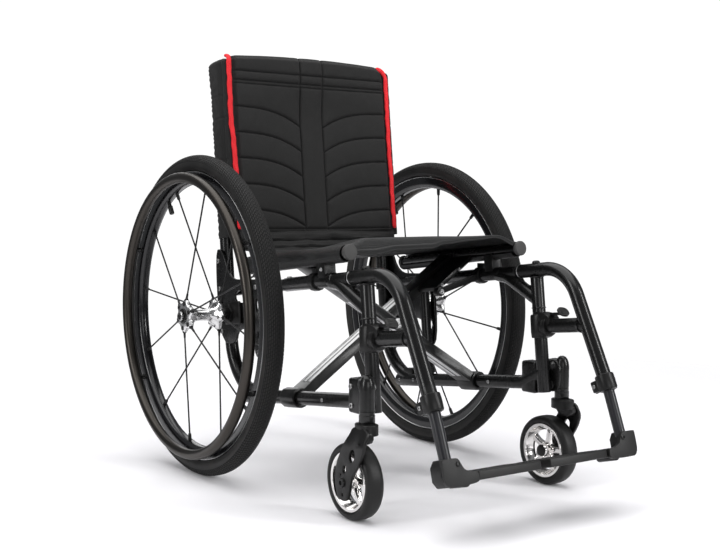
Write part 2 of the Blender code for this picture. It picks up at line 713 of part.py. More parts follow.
def build_footrest(side, s, frame_matrix):
    """Extension tube with its end block and pin, and the footplate that flips up on the pin."""
    plate_axes = plate_frame(s)
    pivot = plate_axes.translation
    x = s * FRAME_X
    shaft = tube([down_tube_point(x, EXTENSION_SPAN[0]), down_tube_point(x, EXTENSION_SPAN[1])], EXTENSION_R)
    shaft = placed(shaft, frame_matrix)
    block = placed(box((0.0165, -0.0175, 0.0142), (0.0450, 0.0165, 0.0360)), plate_axes)
    tab = placed(box((0.0000, 0.0107, -0.0100), (0.0445, 0.0163, 0.0115)), plate_axes)
    riser = placed(box((0.0172, 0.0109, 0.0050), (0.0440, 0.0161, 0.0200)), plate_axes)
    knuckle = placed(cylinder((0, 0.0108, 0), (0, 0.0161, 0), 0.0120), plate_axes)
    pin = placed(cylinder((0, -0.0280, 0), (0, 0.0130, 0), 0.0042, 12), plate_axes)
    extension = union(block, riser, tab, knuckle, shaft, pin)
    add_part(f"{side}_extension_tube", extension, "frame_black", pivot=pivot)

    inner = PLATE_PIVOT[0] - PLATE_HALF_GAP
    section = [(0.053, 0), (0.053, PLATE_THICK), (-inner, PLATE_THICK), (-inner, 0.012), (-inner + 0.008, 0)]
    slab = prism([Vector((px, -0.070, pz)) for px, pz in section], (0, 0.0838, 0))
    slab = placed(slab, plate_axes)
    notch = placed(box((-0.016, 0.0100, -0.03), (0.06, 0.02, 0.03)), plate_axes)
    rear_notch = placed(box((-0.0150, -0.0800, -0.03), (0.06, -0.0260, 0.03)), plate_axes)
    lug = placed(cylinder((0, -0.0300, 0), (0, 0.0099, 0), 0.0085), plate_axes)
    bore = placed(cylinder((0, -0.0400, 0), (0, 0.0200, 0), 0.0051, 12), plate_axes)
    add_part(f"{side}_footplate", cut(union(cut(slab, notch, rear_notch), lug), bore), "dark_plastic", pivot=pivot)


def build():
    clear_scene()
    frame = empty("pitched_frame", (0, AXLE_Y, WHEEL_RADIUS), PITCH)
    bpy.context.view_layer.update()
    frame_matrix = frame.matrix_world.copy()
    for side, s in LEFT_RIGHT:
        build_side_frame(side, s, frame)
        build_caster(side, s)
        build_wheel(side, s)
        build_fold_link(side, s, frame)
        build_seat_rail(side, s, frame)
        build_hanger(side, s, frame)
        build_footrest(side, s, frame_matrix)
    build_arm("cross_arm_a", -1, ARM_A_U, frame)
    build_arm("cross_arm_b", 1, ARM_B_U, frame)
    build_centre_bolt(frame)
    build_soft_parts(frame)


build()
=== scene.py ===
"""Looks of the folding wheelchair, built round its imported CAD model."""
import math

import bmesh
import bpy
from mathutils import Matrix, Vector, noise


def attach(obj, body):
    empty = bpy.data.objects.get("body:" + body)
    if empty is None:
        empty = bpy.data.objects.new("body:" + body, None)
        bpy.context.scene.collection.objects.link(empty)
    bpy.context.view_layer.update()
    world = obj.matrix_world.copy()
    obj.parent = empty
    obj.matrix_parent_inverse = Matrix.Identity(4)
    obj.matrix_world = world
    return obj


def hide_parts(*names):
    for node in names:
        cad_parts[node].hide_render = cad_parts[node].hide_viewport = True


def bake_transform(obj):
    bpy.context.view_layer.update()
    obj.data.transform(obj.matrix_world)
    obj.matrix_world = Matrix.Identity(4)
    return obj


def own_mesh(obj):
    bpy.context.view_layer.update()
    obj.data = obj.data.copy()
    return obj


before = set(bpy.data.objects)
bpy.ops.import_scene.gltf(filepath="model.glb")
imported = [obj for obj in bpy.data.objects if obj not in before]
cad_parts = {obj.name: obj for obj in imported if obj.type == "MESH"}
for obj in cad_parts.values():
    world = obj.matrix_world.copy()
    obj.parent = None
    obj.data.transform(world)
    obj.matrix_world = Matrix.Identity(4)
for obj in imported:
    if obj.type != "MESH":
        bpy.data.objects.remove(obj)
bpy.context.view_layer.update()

# ---- the chair's own dimensions, in metres ---------------------------------------------
SIDES = (("left", 1), ("right", -1))
PITCH = math.radians(6.03)     # seat frame's front-up pitch
HUB = Vector((0, 0.18185, 0.305))
FRAME_X = 0.189
RAIL_X = 0.191
RAIL_V = 0.088
UPPER_V = 0.045
LOWER_V = -0.16
TUBE_R = 0.0127
POST_U = 0.444
MID_POST_U = 0.107
BACK_U = -0.036
STUB_V = -0.058
LEVER_V = -0.036
HANGER_BEND_U = 0.47
HANGER_BEND_R = 0.076
HANGER_DROP = math.radians(70)
BEND_END = (HANGER_BEND_U + HANGER_BEND_R * math.sin(HANGER_DROP),
            UPPER_V - HANGER_BEND_R * (1 - math.cos(HANGER_DROP)))
WHEEL_X = 0.277
HANDRIM_X = 0.31
SPOKES_AT = 21.0               # degrees, the first spoke of the outer flange
OUTER_FLANGE_X = 0.3035
INNER_FLANGE_X = 0.2385
CASTER_X = 0.2164
CASTER_STEM = 0.477
CASTER_AXLE = (0.4428, 0.0635)
CLAMP_DOWN = 0.1625            # extension clamp's place down the hanger tube
CARRIER_X = 0.202
PLATE_TILT = math.radians(15)
PLATE_PIVOT = (0.162, 0.65, 0.0949)
PAD_HALF_X = 0.1815
PAD_LOW_V = 0.16
CURVE_OUTER_V = (0.406, 0.355, 0.304, 0.253, 0.202)
PAD_SEAM_X = 0.027            # the upright seams beside the middle of the back
SEAM_DROP = 0.034              # how far a swept-back seam falls towards the middle

SIDE_TURN = Matrix.Translation(HUB) @ Matrix.Rotation(-PITCH, 4, "X")


def at(x, u, v):
    """A point of the pitched side frame: sideways, forward and up from the rear axle."""
    return SIDE_TURN @ Vector((x, -u, v))


SEAT_UP, SEAT_FORWARD = (at(*way) - at(0, 0, 0) for way in ((0, 0, 1), (0, 1, 0)))


def level(x, forward, z):
    """A point given by its distance in front of the rear axle and its height."""
    return Vector((x, HUB.y - forward, z))


def mm(*lengths):
    """Pairs of metres from a row of millimetres."""
    return [(a / 1000, b / 1000) for a, b in zip(lengths[::2], lengths[1::2])]


def smooth_step(low, high, value):
    share = min(1.0, max(0.0, (value - low) / (high - low)))
    return share * share * (3 - 2 * share)


# ---- finishes --------------------------------------------------------------------------
class Wire:
    """A shader socket; arithmetic on it adds Math nodes."""

    def __init__(self, finish, socket):
        self.finish, self.socket = finish, socket

    def maths(self, operation, *others):
        values = dict(enumerate((self, *others)))
        return self.finish.node("ShaderNodeMath", {"operation": operation}, values)

    def __add__(self, other):
        return self.maths("ADD", other)

    def __mul__(self, other):
        return self.maths("MULTIPLY", other)

    def __sub__(self, other):
        return self.maths("SUBTRACT", other)

    def __rsub__(self, other):
        return self.finish.node("ShaderNodeMath", {"operation": "SUBTRACT"}, {0: other, 1: self})

    __radd__, __rmul__ = __add__, __mul__


class Finish:
    """A material with one Principled shader, and the nodes that feed it."""

    def __init__(self, name, **shader):
        self.material = bpy.data.materials.new(name)
        self.material.use_nodes = True
        self.tree = self.material.node_tree
        self.shader = self.tree.nodes["Principled BSDF"]
        for key, value in shader.items():
            self.give(key.replace("_", " ").title().replace("Ior", "IOR"), value)
        self.place = self.node("ShaderNodeTexCoord", output="Object")

    def feed(self, socket, value):
        if isinstance(value, Wire):
            self.tree.links.new(value.socket, socket)
        else:
            socket.default_value = value

    def give(self, socket, value):
        self.feed(self.shader.inputs[socket], value)

    def node(self, kind, settings=None, inputs=None, output=0):
        made = self.tree.nodes.new(kind)
        for key, value in (settings or {}).items():
            if key == "stops":
                elements = made.color_ramp.elements
                while len(elements) < len(value):
                    elements.new(0.5)
                for element, (position, shade) in zip(elements, value):
                    element.position, element.color = position, (shade, shade, shade, 1)
            else:
                setattr(made, key, value)
        for key, value in (inputs or {}).items():
            self.feed(made.inputs[key], value)
        return Wire(self, made.outputs[output])

    def noise(self, scale, detail=2.0, place=None):
        return self.node("ShaderNodeTexNoise", None,
                         {"Vector": place or self.place, "Scale": scale, "Detail": detail})

    def stretched(self, scale, turn=(0, 0, 0), shift=(0, 0, 0)):
        return self.node("ShaderNodeMapping", None,
                         {"Vector": self.place, "Scale": scale, "Rotation": turn, "Location": shift})

    def ramp(self, value, *stops):
        return self.node("ShaderNodeValToRGB", {"stops": stops}, {"Fac": value})

    def mix(self, share, first, second):
        return self.node("ShaderNodeMix", {"data_type": "RGBA"}, {0: share, 6: first, 7: second}, 2)

    def bands(self, place, direction, scale, distortion=0.0):
        return self.node("ShaderNodeTexWave", {"bands_direction": direction},
                         {"Vector": place, "Scale": scale, "Distortion": distortion})

    def attribute(self, name):
        return self.node("ShaderNodeAttribute", {"attribute_name": name}, output="Fac")

    def relief(self, height, strength, depth):
        self.give("Normal", self.node("ShaderNodeBump", None,
                                      {"Height": height, "Strength": strength, "Distance": depth}))


def shade(value, warm=0.0, cool=0.0):
    return (value * (1 + warm), value, value * (1 - warm + cool), 1)


def coated_metal(name, tone, roughness, coat, warm=0.0, cool=0.0):
    """Powder coat or gloss paint: a fine orange peel, soft clouds and a few rubbed places."""
    made = Finish(name, coat_roughness=0.12, specular_ior_level=0.36)
    clouds = made.noise(7, 4)
    grain = made.noise(1100, 2)
    rubbed = made.ramp(made.noise(34, 6), (0.6, 0), (0.74, 1))
    dark, light = shade(tone * 0.8, warm, cool), shade(tone * 1.3, warm, cool)
    made.give("Base Color", made.mix(rubbed * 0.25, made.mix(clouds, dark, light), shade(tone * 2.6)))
    made.give("Roughness", clouds * 0.07 + grain * 0.05 + rubbed * 0.1 + (roughness - 0.06))
    made.give("Coat Weight", coat - rubbed * coat * 0.6)
    made.relief(grain + made.noise(260, 1) * 0.5, 0.12, 0.0002)
    return made.material


def moulded(name, tone, roughness, grain_size=900):
    """Moulded nylon or plastic, with the spark-eroded grain of its mould."""
    made = Finish(name, specular_ior_level=0.3)
    grain = made.noise(grain_size, 3)
    clouds = made.noise(18, 3)
    made.give("Base Color", made.mix(clouds, shade(tone * 0.8), shade(tone * 1.25, 0.03)))
    made.give("Roughness", grain * 0.12 + clouds * 0.08 + (roughness - 0.1))
    made.relief(grain, 0.35, 0.0002)
    return made.material


def bright_metal(name, tone, roughness, lines=0.0, warm=0.0):
    """Polished or turned metal, with faint turning lines about the wheel's axis."""
    made = Finish(name, metallic=1.0)
    haze = made.noise(60, 4)
    smears = made.noise(14, 2)
    bright = shade(min(1, tone * 1.05), warm)
    made.give("Base Color", made.mix(smears, shade(tone * 0.86, warm), bright))
    made.give("Roughness", haze * 0.1 + smears * 0.05 + (roughness - 0.06))
    turning = made.noise(1.0, 1, made.stretched((2600, 60, 60)))
    made.relief(turning + haze * 0.4, 0.1 + lines, 0.0001)
    return made.material


def ring_rubber(name, tone, roughness, centre_z, dust):
    """Tyre rubber: darker where it is moulded smooth, a little dust and fine rings on its sides."""
    made = Finish(name, specular_ior_level=0.28)
    centred = made.stretched((1, 1, 1), shift=(0, -HUB.y, -centre_z))
    clouds = made.noise(24, 5)
    grain = made.noise(700, 3)
    rings = made.node("ShaderNodeTexWave", {"wave_type": "RINGS", "rings_direction": "X"},
                      {"Vector": centred, "Scale": 95})
    dusty = made.ramp(clouds, (0.45, 0), (0.8, 1)) * dust
    made.give("Base Color", made.mix(dusty, shade(tone, 0.02), shade(tone * 3.2, 0.1)))
    made.give("Roughness", clouds * 0.12 + grain * 0.06 + (roughness - 0.06))
    made.relief(grain * 0.6 + rings * 0.25, 0.22, 0.0003)
    return made.material


def mask_of_seam_shade_and_groove(made):
    """1 along the back pad's seams, from where each point lies on the flat panel; it paints shade into
    the seams and grooves their bump.
    """
    aside, curve, high = (made.attribute(key) for key in ("aside", "curve", "high"))

    def line(distance, half_width):
        return made.node("ShaderNodeMapRange", {"interpolation_type": "SMOOTHSTEP"},
                         {"Value": distance, "From Min": half_width * 0.4, "From Max": half_width,
                          "To Min": 1.0, "To Max": 0.0})

    def within(value, low, high_end):
        return value.maths("GREATER_THAN", low) * value.maths("LESS_THAN", high_end)

    swept_back = line((curve - CURVE_OUTER_V[-1]).maths("PINGPONG", 0.0255), 0.0016)
    swept_back = swept_back * within(curve, 0.19, 0.42) * aside.maths("GREATER_THAN", PAD_SEAM_X)
    upright = line((aside - PAD_SEAM_X).maths("ABSOLUTE"), 0.0013) * within(high, 0.1635, 0.6)
    level_seams = line((high - 0.477).maths("ABSOLUTE"), 0.0014)
    for height in (0.459, 0.452, 0.1635):
        level_seams = level_seams.maths("MAXIMUM", line((high - height).maths("ABSOLUTE"), 0.0013))
    return swept_back.maths("MAXIMUM", upright).maths("MAXIMUM", level_seams)


def woven(name, tone, roughness, pitch, sheen, across="X", along="Z", warm=0.0, colour=None,
          stitched=False):
    """Woven cloth: warp and weft at their own pitch, slubs, sheen, and painted shade darkening its
    sewn channels.
    """
    made = Finish(name, specular_ior_level=0.3, sheen_weight=sheen, sheen_roughness=0.45,
                  sheen_tint=colour or shade(0.8))
    upright = made.stretched((1, 1, 1), turn=(PITCH, 0, 0))
    scale = math.tau / (20 * pitch)
    warp = made.bands(upright, across, scale, 0.3)
    weft = made.bands(upright, along, scale * 0.92, 0.3)
    clouds = made.noise(9, 5)
    slubs = made.noise(420, 4)
    base = colour or shade(tone, warm)
    dark = tuple(c * 0.66 for c in base[:3]) + (1,)
    light = tuple(min(1, c * 1.28) for c in base[:3]) + (1,)
    thread = made.mix(warp * weft * 0.55 + clouds * 0.45, dark, light)
    seam_groove_and_shade = mask_of_seam_shade_and_groove(made) if stitched else made.attribute("channel")
    # painted shade: the seams and hems darken towards 16% of the cloth's colour, while the bump below
    # grooves them
    made.give("Base Color", made.mix(seam_groove_and_shade * 0.85, thread, tuple(c * 0.16 for c in base[:3]) + (1,)))
    made.give("Roughness", slubs * 0.1 + clouds * 0.08 + (roughness - 0.08))
    made.relief(warp * weft + slubs * 0.5 + clouds * 0.3 - seam_groove_and_shade * 3, 0.4, 0.0006)
    return made.material


FRAME_BLACK = coated_metal("frame_powder_coat", 0.0035, 0.27, 0.08)
GLOSS_BLACK = coated_metal("brace_gloss_paint", 0.004, 0.3, 0.05)
RIM_BLACK = coated_metal("rim_gloss_black", 0.0055, 0.2, 0.2, cool=0.15)
SPOKE_BLACK = coated_metal("spoke_fibre_black", 0.005, 0.45, 0.0)
SHAFT_BLACK = coated_metal("leg_tube_anodising", 0.013, 0.32, 0.05, cool=0.2)
NYLON_BLACK = moulded("fitting_nylon", 0.005, 0.36)
# painted shade: the tread grooves are the tyre's own rubber, made darker to stand for the shade in
# them
GROOVE_PAINTED_SHADE = moulded("tread_groove_painted_shade", 0.0025, 0.7)
CAP_GREY = moulded("rail_cap_plastic", 0.05, 0.55)
PADDLE_GREY = moulded("release_paddle_plastic", 0.022, 0.5)
PLATE_BLACK = moulded("footplate_moulding", 0.0085, 0.45, 600)
HUB_METAL = bright_metal("hub_aluminium", 0.7, 0.24, 0.02)
CHROME = bright_metal("caster_chrome", 0.86, 0.08, 0.0, 0.02)
STEEL = bright_metal("bolt_steel", 0.45, 0.3, 0.05)
# painted reflection: a grey metal band on the black rim's lip stands for the bright line the rim's
# edge reflects
RIM_LIP_PAINTED_REFLECTION = bright_metal("rim_lip_painted_reflection", 0.42, 0.3, 0.2)
STRIP_SILVER = bright_metal("brace_silver_strip", 0.8, 0.32, 0.0)
ANODISED = bright_metal("handrim_anodising", 0.05, 0.34, 0.12, 0.1)
TYRE = ring_rubber("tyre_rubber_black", 0.0115, 0.55, HUB.z, 0.4)
CASTER_RUBBER = ring_rubber("caster_rubber_black", 0.007, 0.42, CASTER_AXLE[1], 0.1)
BACK_CLOTH = woven("back_woven_cloth", 0.0165, 0.8, 0.0011, 0.05, warm=0.02, stitched=True)
SLEEVE_CLOTH = woven("back_sleeve_cloth", 0.012, 0.8, 0.0011, 0.05, warm=0.02)
SEAT_CLOTH = woven("seat_nylon_cloth", 0.0095, 0.44, 0.0008, 0.03, along="Y")
PIPING = woven("piping_red_cloth", 0.0, 0.62, 0.0009, 0.05, colour=(0.95, 0.02, 0.03, 1))


# ---- shapes ----------------------------------------------------------------------------
def rounded_edges(bm, width, segments=2, sharp=50):
    """Round every edge that is sharper than an angle in degrees."""
    limit = math.radians(sharp)
    edges = [e for e in bm.edges if len(e.link_faces) == 2 and e.calc_face_angle(0) > limit]
    if edges and width:
        bmesh.ops.bevel(bm, geom=edges, offset=width, offset_type="OFFSET", segments=segments,
                        profile=0.5, affect="EDGES", material=-1, clamp_overlap=True)
    return bm


def turned(profile, centre, axis=(1, 0, 0), steps=48, closed=False):
    """A profile of (along the axis, radius) pairs spun round an axis."""
    axis = Vector(axis).normalized()
    side = axis.orthogonal().normalized()
    bm = bmesh.new()
    verts = [bm.verts.new(centre + axis * along + side * radius) for along, radius in profile]
    ends = verts[1:] + verts[:1] if closed else verts[1:]
    edges = [bm.edges.new(pair) for pair in zip(verts, ends)]
    bmesh.ops.spin(bm, geom=verts + edges, cent=centre, axis=axis, angle=math.tau, steps=steps,
                   use_merge=True)
    bmesh.ops.remove_doubles(bm, verts=bm.verts, dist=1e-6)
    bmesh.ops.recalc_face_normals(bm, faces=bm.faces)
    return bm


def route(corners, radii, steps=10):
    """Straight stretches joined by arcs at the inner corners."""
    points = [corners[0]]
    for before, corner, after, radius in zip(corners, corners[1:], corners[2:], radii):
        back, on = (before - corner).normalized(), (after - corner).normalized()
        half = back.angle(on) / 2
        middle = corner + (back + on).normalized() * (radius / math.sin(half))
        start = (corner + back * (radius / math.tan(half)) - middle).normalized()
        end = (corner + on * (radius / math.tan(half)) - middle).normalized()
        points += [middle + start.slerp(end, step / steps).normalized() * radius
                   for step in range(steps + 1)]
    return points + [corners[-1]]


def swept(points, radius, sides=24, wide=1.0, wide_axis=None):
    """A tube along points. radius is a number or one for each point; wide flattens it."""
    radii = radius if isinstance(radius, (list, tuple)) else [radius] * len(points)
    steps = [(b - a).normalized() for a, b in zip(points, points[1:])]
    tangents = [steps[0]] + [(a + b).normalized() for a, b in zip(steps, steps[1:])] + [steps[-1]]
    bm = bmesh.new()
    bmesh.ops.create_circle(bm, cap_ends=False, radius=radii[0], segments=sides)
    if wide_axis is not None:
        across = (wide_axis - tangents[0] * wide_axis.dot(tangents[0])).normalized()
        bmesh.ops.scale(bm, vec=(wide, 1, 1), verts=bm.verts)
        turn = Matrix((across, tangents[0].cross(across), tangents[0])).transposed().to_4x4()
    else:
        turn = tangents[0].to_track_quat("Z", "Y").to_matrix().to_4x4()
    bm.transform(Matrix.Translation(points[0]) @ turn)
    edges = bm.edges[:]
    for index in range(1, len(points)):
        grown = bmesh.ops.extrude_edge_only(bm, edges=edges)["geom"]
        verts = [g for g in grown if isinstance(g, bmesh.types.BMVert)]
        fresh = set(verts)
        edges = [g for g in grown if isinstance(g, bmesh.types.BMEdge) and fresh.issuperset(g.verts)]
        turn = tangents[index - 1].rotation_difference(tangents[index]).to_matrix().to_4x4()
        size = Matrix.Scale(radii[index] / radii[index - 1], 4)
        move = Matrix.Translation(points[index]) @ turn @ size @ Matrix.Translation(-points[index - 1])
        bmesh.ops.transform(bm, matrix=move, verts=verts)
    bmesh.ops.holes_fill(bm, edges=bm.edges, sides=0)
    bmesh.ops.recalc_face_normals(bm, faces=bm.faces)
    return bm


def rod(start, end, radius, sides=24, edge=0.0):
    """A straight round bar, with its ends rounded over."""
    if not edge:
        return swept([start, end], radius, sides)
    along = (end - start).normalized()
    points, radii = [start], [radius - edge]
    for turn in (30, 60, 90):
        angle = math.radians(turn)
        points.append(start + along * edge * (1 - math.cos(angle)))
        radii.append(radius - edge * (1 - math.sin(angle)))
    points += [end - (p - start) for p in reversed(points)]
    return swept(points, radii + radii[::-1], sides)


def block(low, high, edge=0.001, segments=3, place=None):
    """A box with rounded edges."""
    low, high = Vector(low), Vector(high)
    bm = bmesh.new()
    bmesh.ops.create_cube(bm, size=1)
    bmesh.ops.scale(bm, vec=[abs(c) for c in high - low], verts=bm.verts)
    bmesh.ops.translate(bm, vec=(low + high) / 2, verts=bm.verts)
    rounded_edges(bm, edge, segments)
    bm.transform(place or Matrix())
    bmesh.ops.recalc_face_normals(bm, faces=bm.faces)
    return bm


def eased(points, rounds=2):
    """A closed outline with its corners cut round, again and again."""
    for _ in range(rounds):
        points = [p for a, b in zip(points, points[1:] + points[:1])
                  for p in (a.lerp(b, 0.25), a.lerp(b, 0.75))]
    return points


def oval(centre, across, along, steps=24):
    return [centre + across * math.cos(math.tau * i / steps) + along * math.sin(math.tau * i / steps)
            for i in range(steps)]


def plate(outline, depth, holes=(), edge=0.0008, segments=2):
    """A flat plate cut to an outline, with holes through it and its edges rounded."""
    bm = bmesh.new()
    rims = []
    for loop in (outline, *holes):
        verts = [bm.verts.new(p) for p in loop]
        rims += [bm.edges.new(pair) for pair in zip(verts, verts[1:] + verts[:1])]
    bmesh.ops.triangle_fill(bm, edges=rims, use_beauty=True)
    grown = bmesh.ops.extrude_face_region(bm, geom=bm.faces[:])["geom"]
    bmesh.ops.translate(bm, vec=depth, verts=[g for g in grown if isinstance(g, bmesh.types.BMVert)])
    bmesh.ops.recalc_face_normals(bm, faces=bm.faces)
    return rounded_edges(bm, edge, segments, 55)


def refined(node, edge=0.0008, segments=2, sharp=42):
    """A copy of a CAD node with its loose triangles merged and its edges rounded."""
    bm = bmesh.new()
    bm.from_mesh(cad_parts[node].data)
    bmesh.ops.remove_doubles(bm, verts=bm.verts, dist=1e-6)
    bmesh.ops.dissolve_limit(bm, angle_limit=math.radians(1), verts=bm.verts, edges=bm.edges)
    for face in bm.faces:
        face.material_index = 0
    return rounded_edges(bm, edge, segments, sharp)


def in_finish(bm, index):
    """The whole shape takes the piece's finish of that number."""
    for face in bm.faces:
        face.material_index = index
    return bm


def joined(*shapes):
    whole = bmesh.new()
    for bm in shapes:
        holder = bpy.data.meshes.new("holder")
        bm.to_mesh(holder)
        bm.free()
        whole.from_mesh(holder)
        bpy.data.meshes.remove(holder)
    return whole


def bolt_head(centre, axis, radius, height, finish=0):
    """A socket screw's head that stands on a face."""
    profile = [(0, radius), (height * 0.75, radius), (height, radius * 0.85), (height, radius * 0.52),
               (height * 0.3, radius * 0.46), (height * 0.3, 0)]
    return in_finish(turned(profile, centre, axis, 20), finish)


def piece(name, bm, finishes, body, stands_for=(), crease=34):
    """Make the object, put it on its body and hide the CAD nodes it stands for."""
    mesh = bpy.data.meshes.new(name)
    bm.to_mesh(mesh)
    bm.free()
    mesh.shade_smooth()
    mesh.set_sharp_from_angle(angle=math.radians(crease))
    for finish in finishes if isinstance(finishes, (list, tuple)) else [finishes]:
        mesh.materials.append(finish)
    made = bpy.data.objects.new(name, mesh)
    bpy.context.scene.collection.objects.link(made)
    if body:
        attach(made, body)
    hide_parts(*stands_for)
    return made


# ---- camera, floor and lights ----------------------------------------------------------
def aim(thing, target):
    thing.rotation_euler = (Vector(target) - thing.location).to_track_quat("-Z", "Y").to_euler()


def softbox(name, place, target, width, height, power):
    lamp = bpy.data.lights.new(name, "AREA")
    lamp.shape, lamp.size, lamp.size_y, lamp.energy = "RECTANGLE", width, height, power
    holder = bpy.data.objects.new(name, lamp)
    holder.location = place
    aim(holder, target)
    bpy.context.scene.collection.objects.link(holder)


def studio():
    """Camera, fading white floor, world and lights."""
    camera_data = bpy.data.cameras.new("camera")
    camera_data.lens, camera_data.sensor_width = 56.25, 36
    camera = bpy.data.objects.new("camera", camera_data)
    camera.location = (-1.24065, -1.75983, 0.4969)
    aim(camera, (0.0181, 0.06425, 0.3743))
    bpy.context.scene.collection.objects.link(camera)
    bpy.context.scene.camera = camera

    bm = bmesh.new()
    bmesh.ops.create_circle(bm, cap_ends=True, cap_tris=True, radius=4.5, segments=96)
    mesh = bpy.data.meshes.new("floor")
    bm.to_mesh(mesh)
    bm.free()
    made = Finish("studio_floor", roughness=0.9, specular_ior_level=0.1)
    made.give("Base Color", made.mix(made.noise(1.5, 2), (0.89, 0.88, 0.9, 1), (0.92, 0.91, 0.93, 1)))
    away = made.node("ShaderNodeVectorMath", {"operation": "LENGTH"}, {0: made.place}, "Value")
    made.give("Alpha", made.node("ShaderNodeMapRange", {"interpolation_type": "SMOOTHSTEP"},
                                 {"Value": away, "From Min": 1.0, "From Max": 2.4,
                                  "To Min": 1.0, "To Max": 0.0}))
    mesh.materials.append(made.material)
    floor = bpy.data.objects.new("floor", mesh)
    bpy.context.scene.collection.objects.link(floor)

    world = bpy.data.worlds.new("studio")
    bpy.context.scene.world = world
    world.use_nodes = True
    tree = world.node_tree
    tree.nodes.clear()
    rays = tree.nodes.new("ShaderNodeLightPath")
    seen, felt = tree.nodes.new("ShaderNodeBackground"), tree.nodes.new("ShaderNodeBackground")
    seen.inputs["Color"].default_value = (1, 1, 1, 1)
    felt.inputs["Color"].default_value = (0.94, 0.96, 1, 1)
    seen.inputs["Strength"].default_value = 1.05
    felt.inputs["Strength"].default_value = 0.2
    both = tree.nodes.new("ShaderNodeMixShader")
    out = tree.nodes.new("ShaderNodeOutputWorld")
    tree.links.new(rays.outputs["Is Camera Ray"], both.inputs[0])
    tree.links.new(felt.outputs[0], both.inputs[1])
    tree.links.new(seen.outputs[0], both.inputs[2])
    tree.links.new(both.outputs[0], out.inputs["Surface"])

    middle = (0, 0, 0.35)
    softbox("overhead", (-0.2, 0.2, 2.9), middle, 4.0, 4.0, 122)
    softbox("front_strip", (1.5, -2.5, 1.5), middle, 0.45, 2.0, 46)
    softbox("right_strip", (-2.9, -0.2, 1.4), middle, 0.5, 2.0, 34)
    softbox("front_fill", (-0.9, -3.2, 0.9), middle, 1.6, 1.2, 16)
    softbox("behind", (0.9, 2.8, 1.4), middle, 1.2, 1.6, 9)
    bpy.context.scene.view_settings.view_transform = "Standard"


def mirrored(profile, s):
    return [(s * along, radius) for along, radius in profile]


# ---- rear wheels -----------------------------------------------------------------------
def spoke_directions(angle):
    """Outward along a spoke, and square to it, at an angle up from straight ahead."""
    cosine, sine = math.cos(angle), math.sin(angle)
    return Vector((0, -cosine, sine)), Vector((0, sine, cosine))


def tyre(side, s, body):
    """A tyre whose tread blocks lean back towards both shoulders; its groove walls get a darker rubber
    as painted shade.
    """
    middle = HUB + Vector((s * WHEEL_X, 0, 0))
    half = mm(11, 275.2, 13.8, 276.6, 14.8, 279.2, 16, 280.6, 17.2, 284.8, 17.5, 289, 16.9, 292.5,
              16.1, 294.6, 14.6, 297.2, 12.2, 300, 9.4, 302.1, 6.2, 303.6, 3, 304.3)
    profile = [(-x, r) for x, r in half] + [(0, 0.3044)] + [(x, r) for x, r in reversed(half)]
    bm = turned(profile, middle, steps=264, closed=True)
    for vert in bm.verts:
        lean = Matrix.Rotation(abs(vert.co.x - middle.x) * 3.4, 3, "X")
        vert.co = middle + lean @ (vert.co - middle)
    crown = []
    for face in bm.faces:
        out = face.calc_center_median() - middle
        if math.hypot(out.y, out.z) > 0.2935:
            crown.append(face)
    groove_walls_in_painted_shade = bmesh.ops.inset_individual(bm, faces=crown, thickness=0.0009, depth=0.0009,
                                       use_even_offset=True)["faces"]
    for face in groove_walls_in_painted_shade:
        face.material_index = 1
    piece(f"{side}_tyre_with_tread", bm, [TYRE, GROOVE_PAINTED_SHADE], body,
          [f"{side}_wheel_tyre"], 28)


def rim(side, s, body):
    """Deep rim with a grey metal band round its lip as a painted reflection line, and the valve."""
    middle = HUB + Vector((s * WHEEL_X, 0, 0))
    half = mm(12.8, 274.6, 13.4, 274.1, 13.4, 273.1, 12.7, 272.6, 12.6, 265, 12.2, 260, 11, 255.5,
              8, 251.8, 4, 250.3)
    profile = [(-x, r) for x, r in half] + [(0, 0.25)] + [(x, r) for x, r in reversed(half)]
    bm = turned(profile, middle, steps=168, closed=True)
    # the faces round the lip take the grey metal band, a painted reflection line
    for face in bm.faces:
        out = face.calc_center_median() - middle
        if 0.2727 < math.hypot(out.y, out.z) < 0.2745 and abs(out.x) > 0.0125:
            face.material_index = 1
    piece(f"{side}_deep_rim", bm, [RIM_BLACK, RIM_LIP_PAINTED_REFLECTION], body, [f"{side}_wheel_rim"], 40)

    out, _ = spoke_directions(math.radians(120))
    stem = middle + out * 0.2505
    bm = joined(rod(stem, stem - out * 0.01, 0.0036, 14),
                rod(stem - out * 0.009, stem - out * 0.027, 0.005, 16, 0.0015))
    piece(f"{side}_valve", bm, NYLON_BLACK, body)


def spokes(side, s, body):
    """Twelve spokes, six to each flange, with their seats in the hub."""
    middle = HUB + Vector((s * WHEEL_X, 0, 0))
    shapes, seats = [], []
    for index in range(12):
        out, _ = spoke_directions(math.radians(SPOKES_AT + index * 30))
        flange_x = OUTER_FLANGE_X if index % 2 == 0 else INNER_FLANGE_X
        root = middle + out * 0.253
        foot = HUB + out * 0.0325 + Vector((s * flange_x, 0, 0))
        line = (foot - root).normalized()
        stretch = [root, root + line * 0.003, root + line * 0.015, root + line * 0.017,
                   foot - line * 0.012, foot - line * 0.009, foot]
        shapes.append(swept(stretch, [0.0037, 0.0036, 0.0031, 0.00165, 0.00155, 0.0021, 0.0024], 12))
        knob = bmesh.new()
        bmesh.ops.create_uvsphere(knob, u_segments=14, v_segments=8, radius=0.0042)
        knob.transform(Matrix.Translation(HUB + out * 0.0305 + Vector((s * flange_x, 0, 0))))
        seats.append(knob)
        sign = 1 if index % 2 == 0 else -1
        for way in (sign, -sign):
            face = Vector((s * (flange_x + way * 0.0052), 0, 0))
            dimple = [(-0.003, 0.0001), (-0.003, 0.004), (0.0004, 0.0046), (0.0004, 0.0001)]
            seats.append(turned(dimple, HUB + out * 0.0235 + face, (s * way, 0, 0), 18, closed=True))
    piece(f"{side}_spoke_set", joined(*shapes), SPOKE_BLACK, body,
          [f"{side}_wheel_spokes"], 50)
    piece(f"{side}_spoke_seats", joined(*seats), NYLON_BLACK, body)


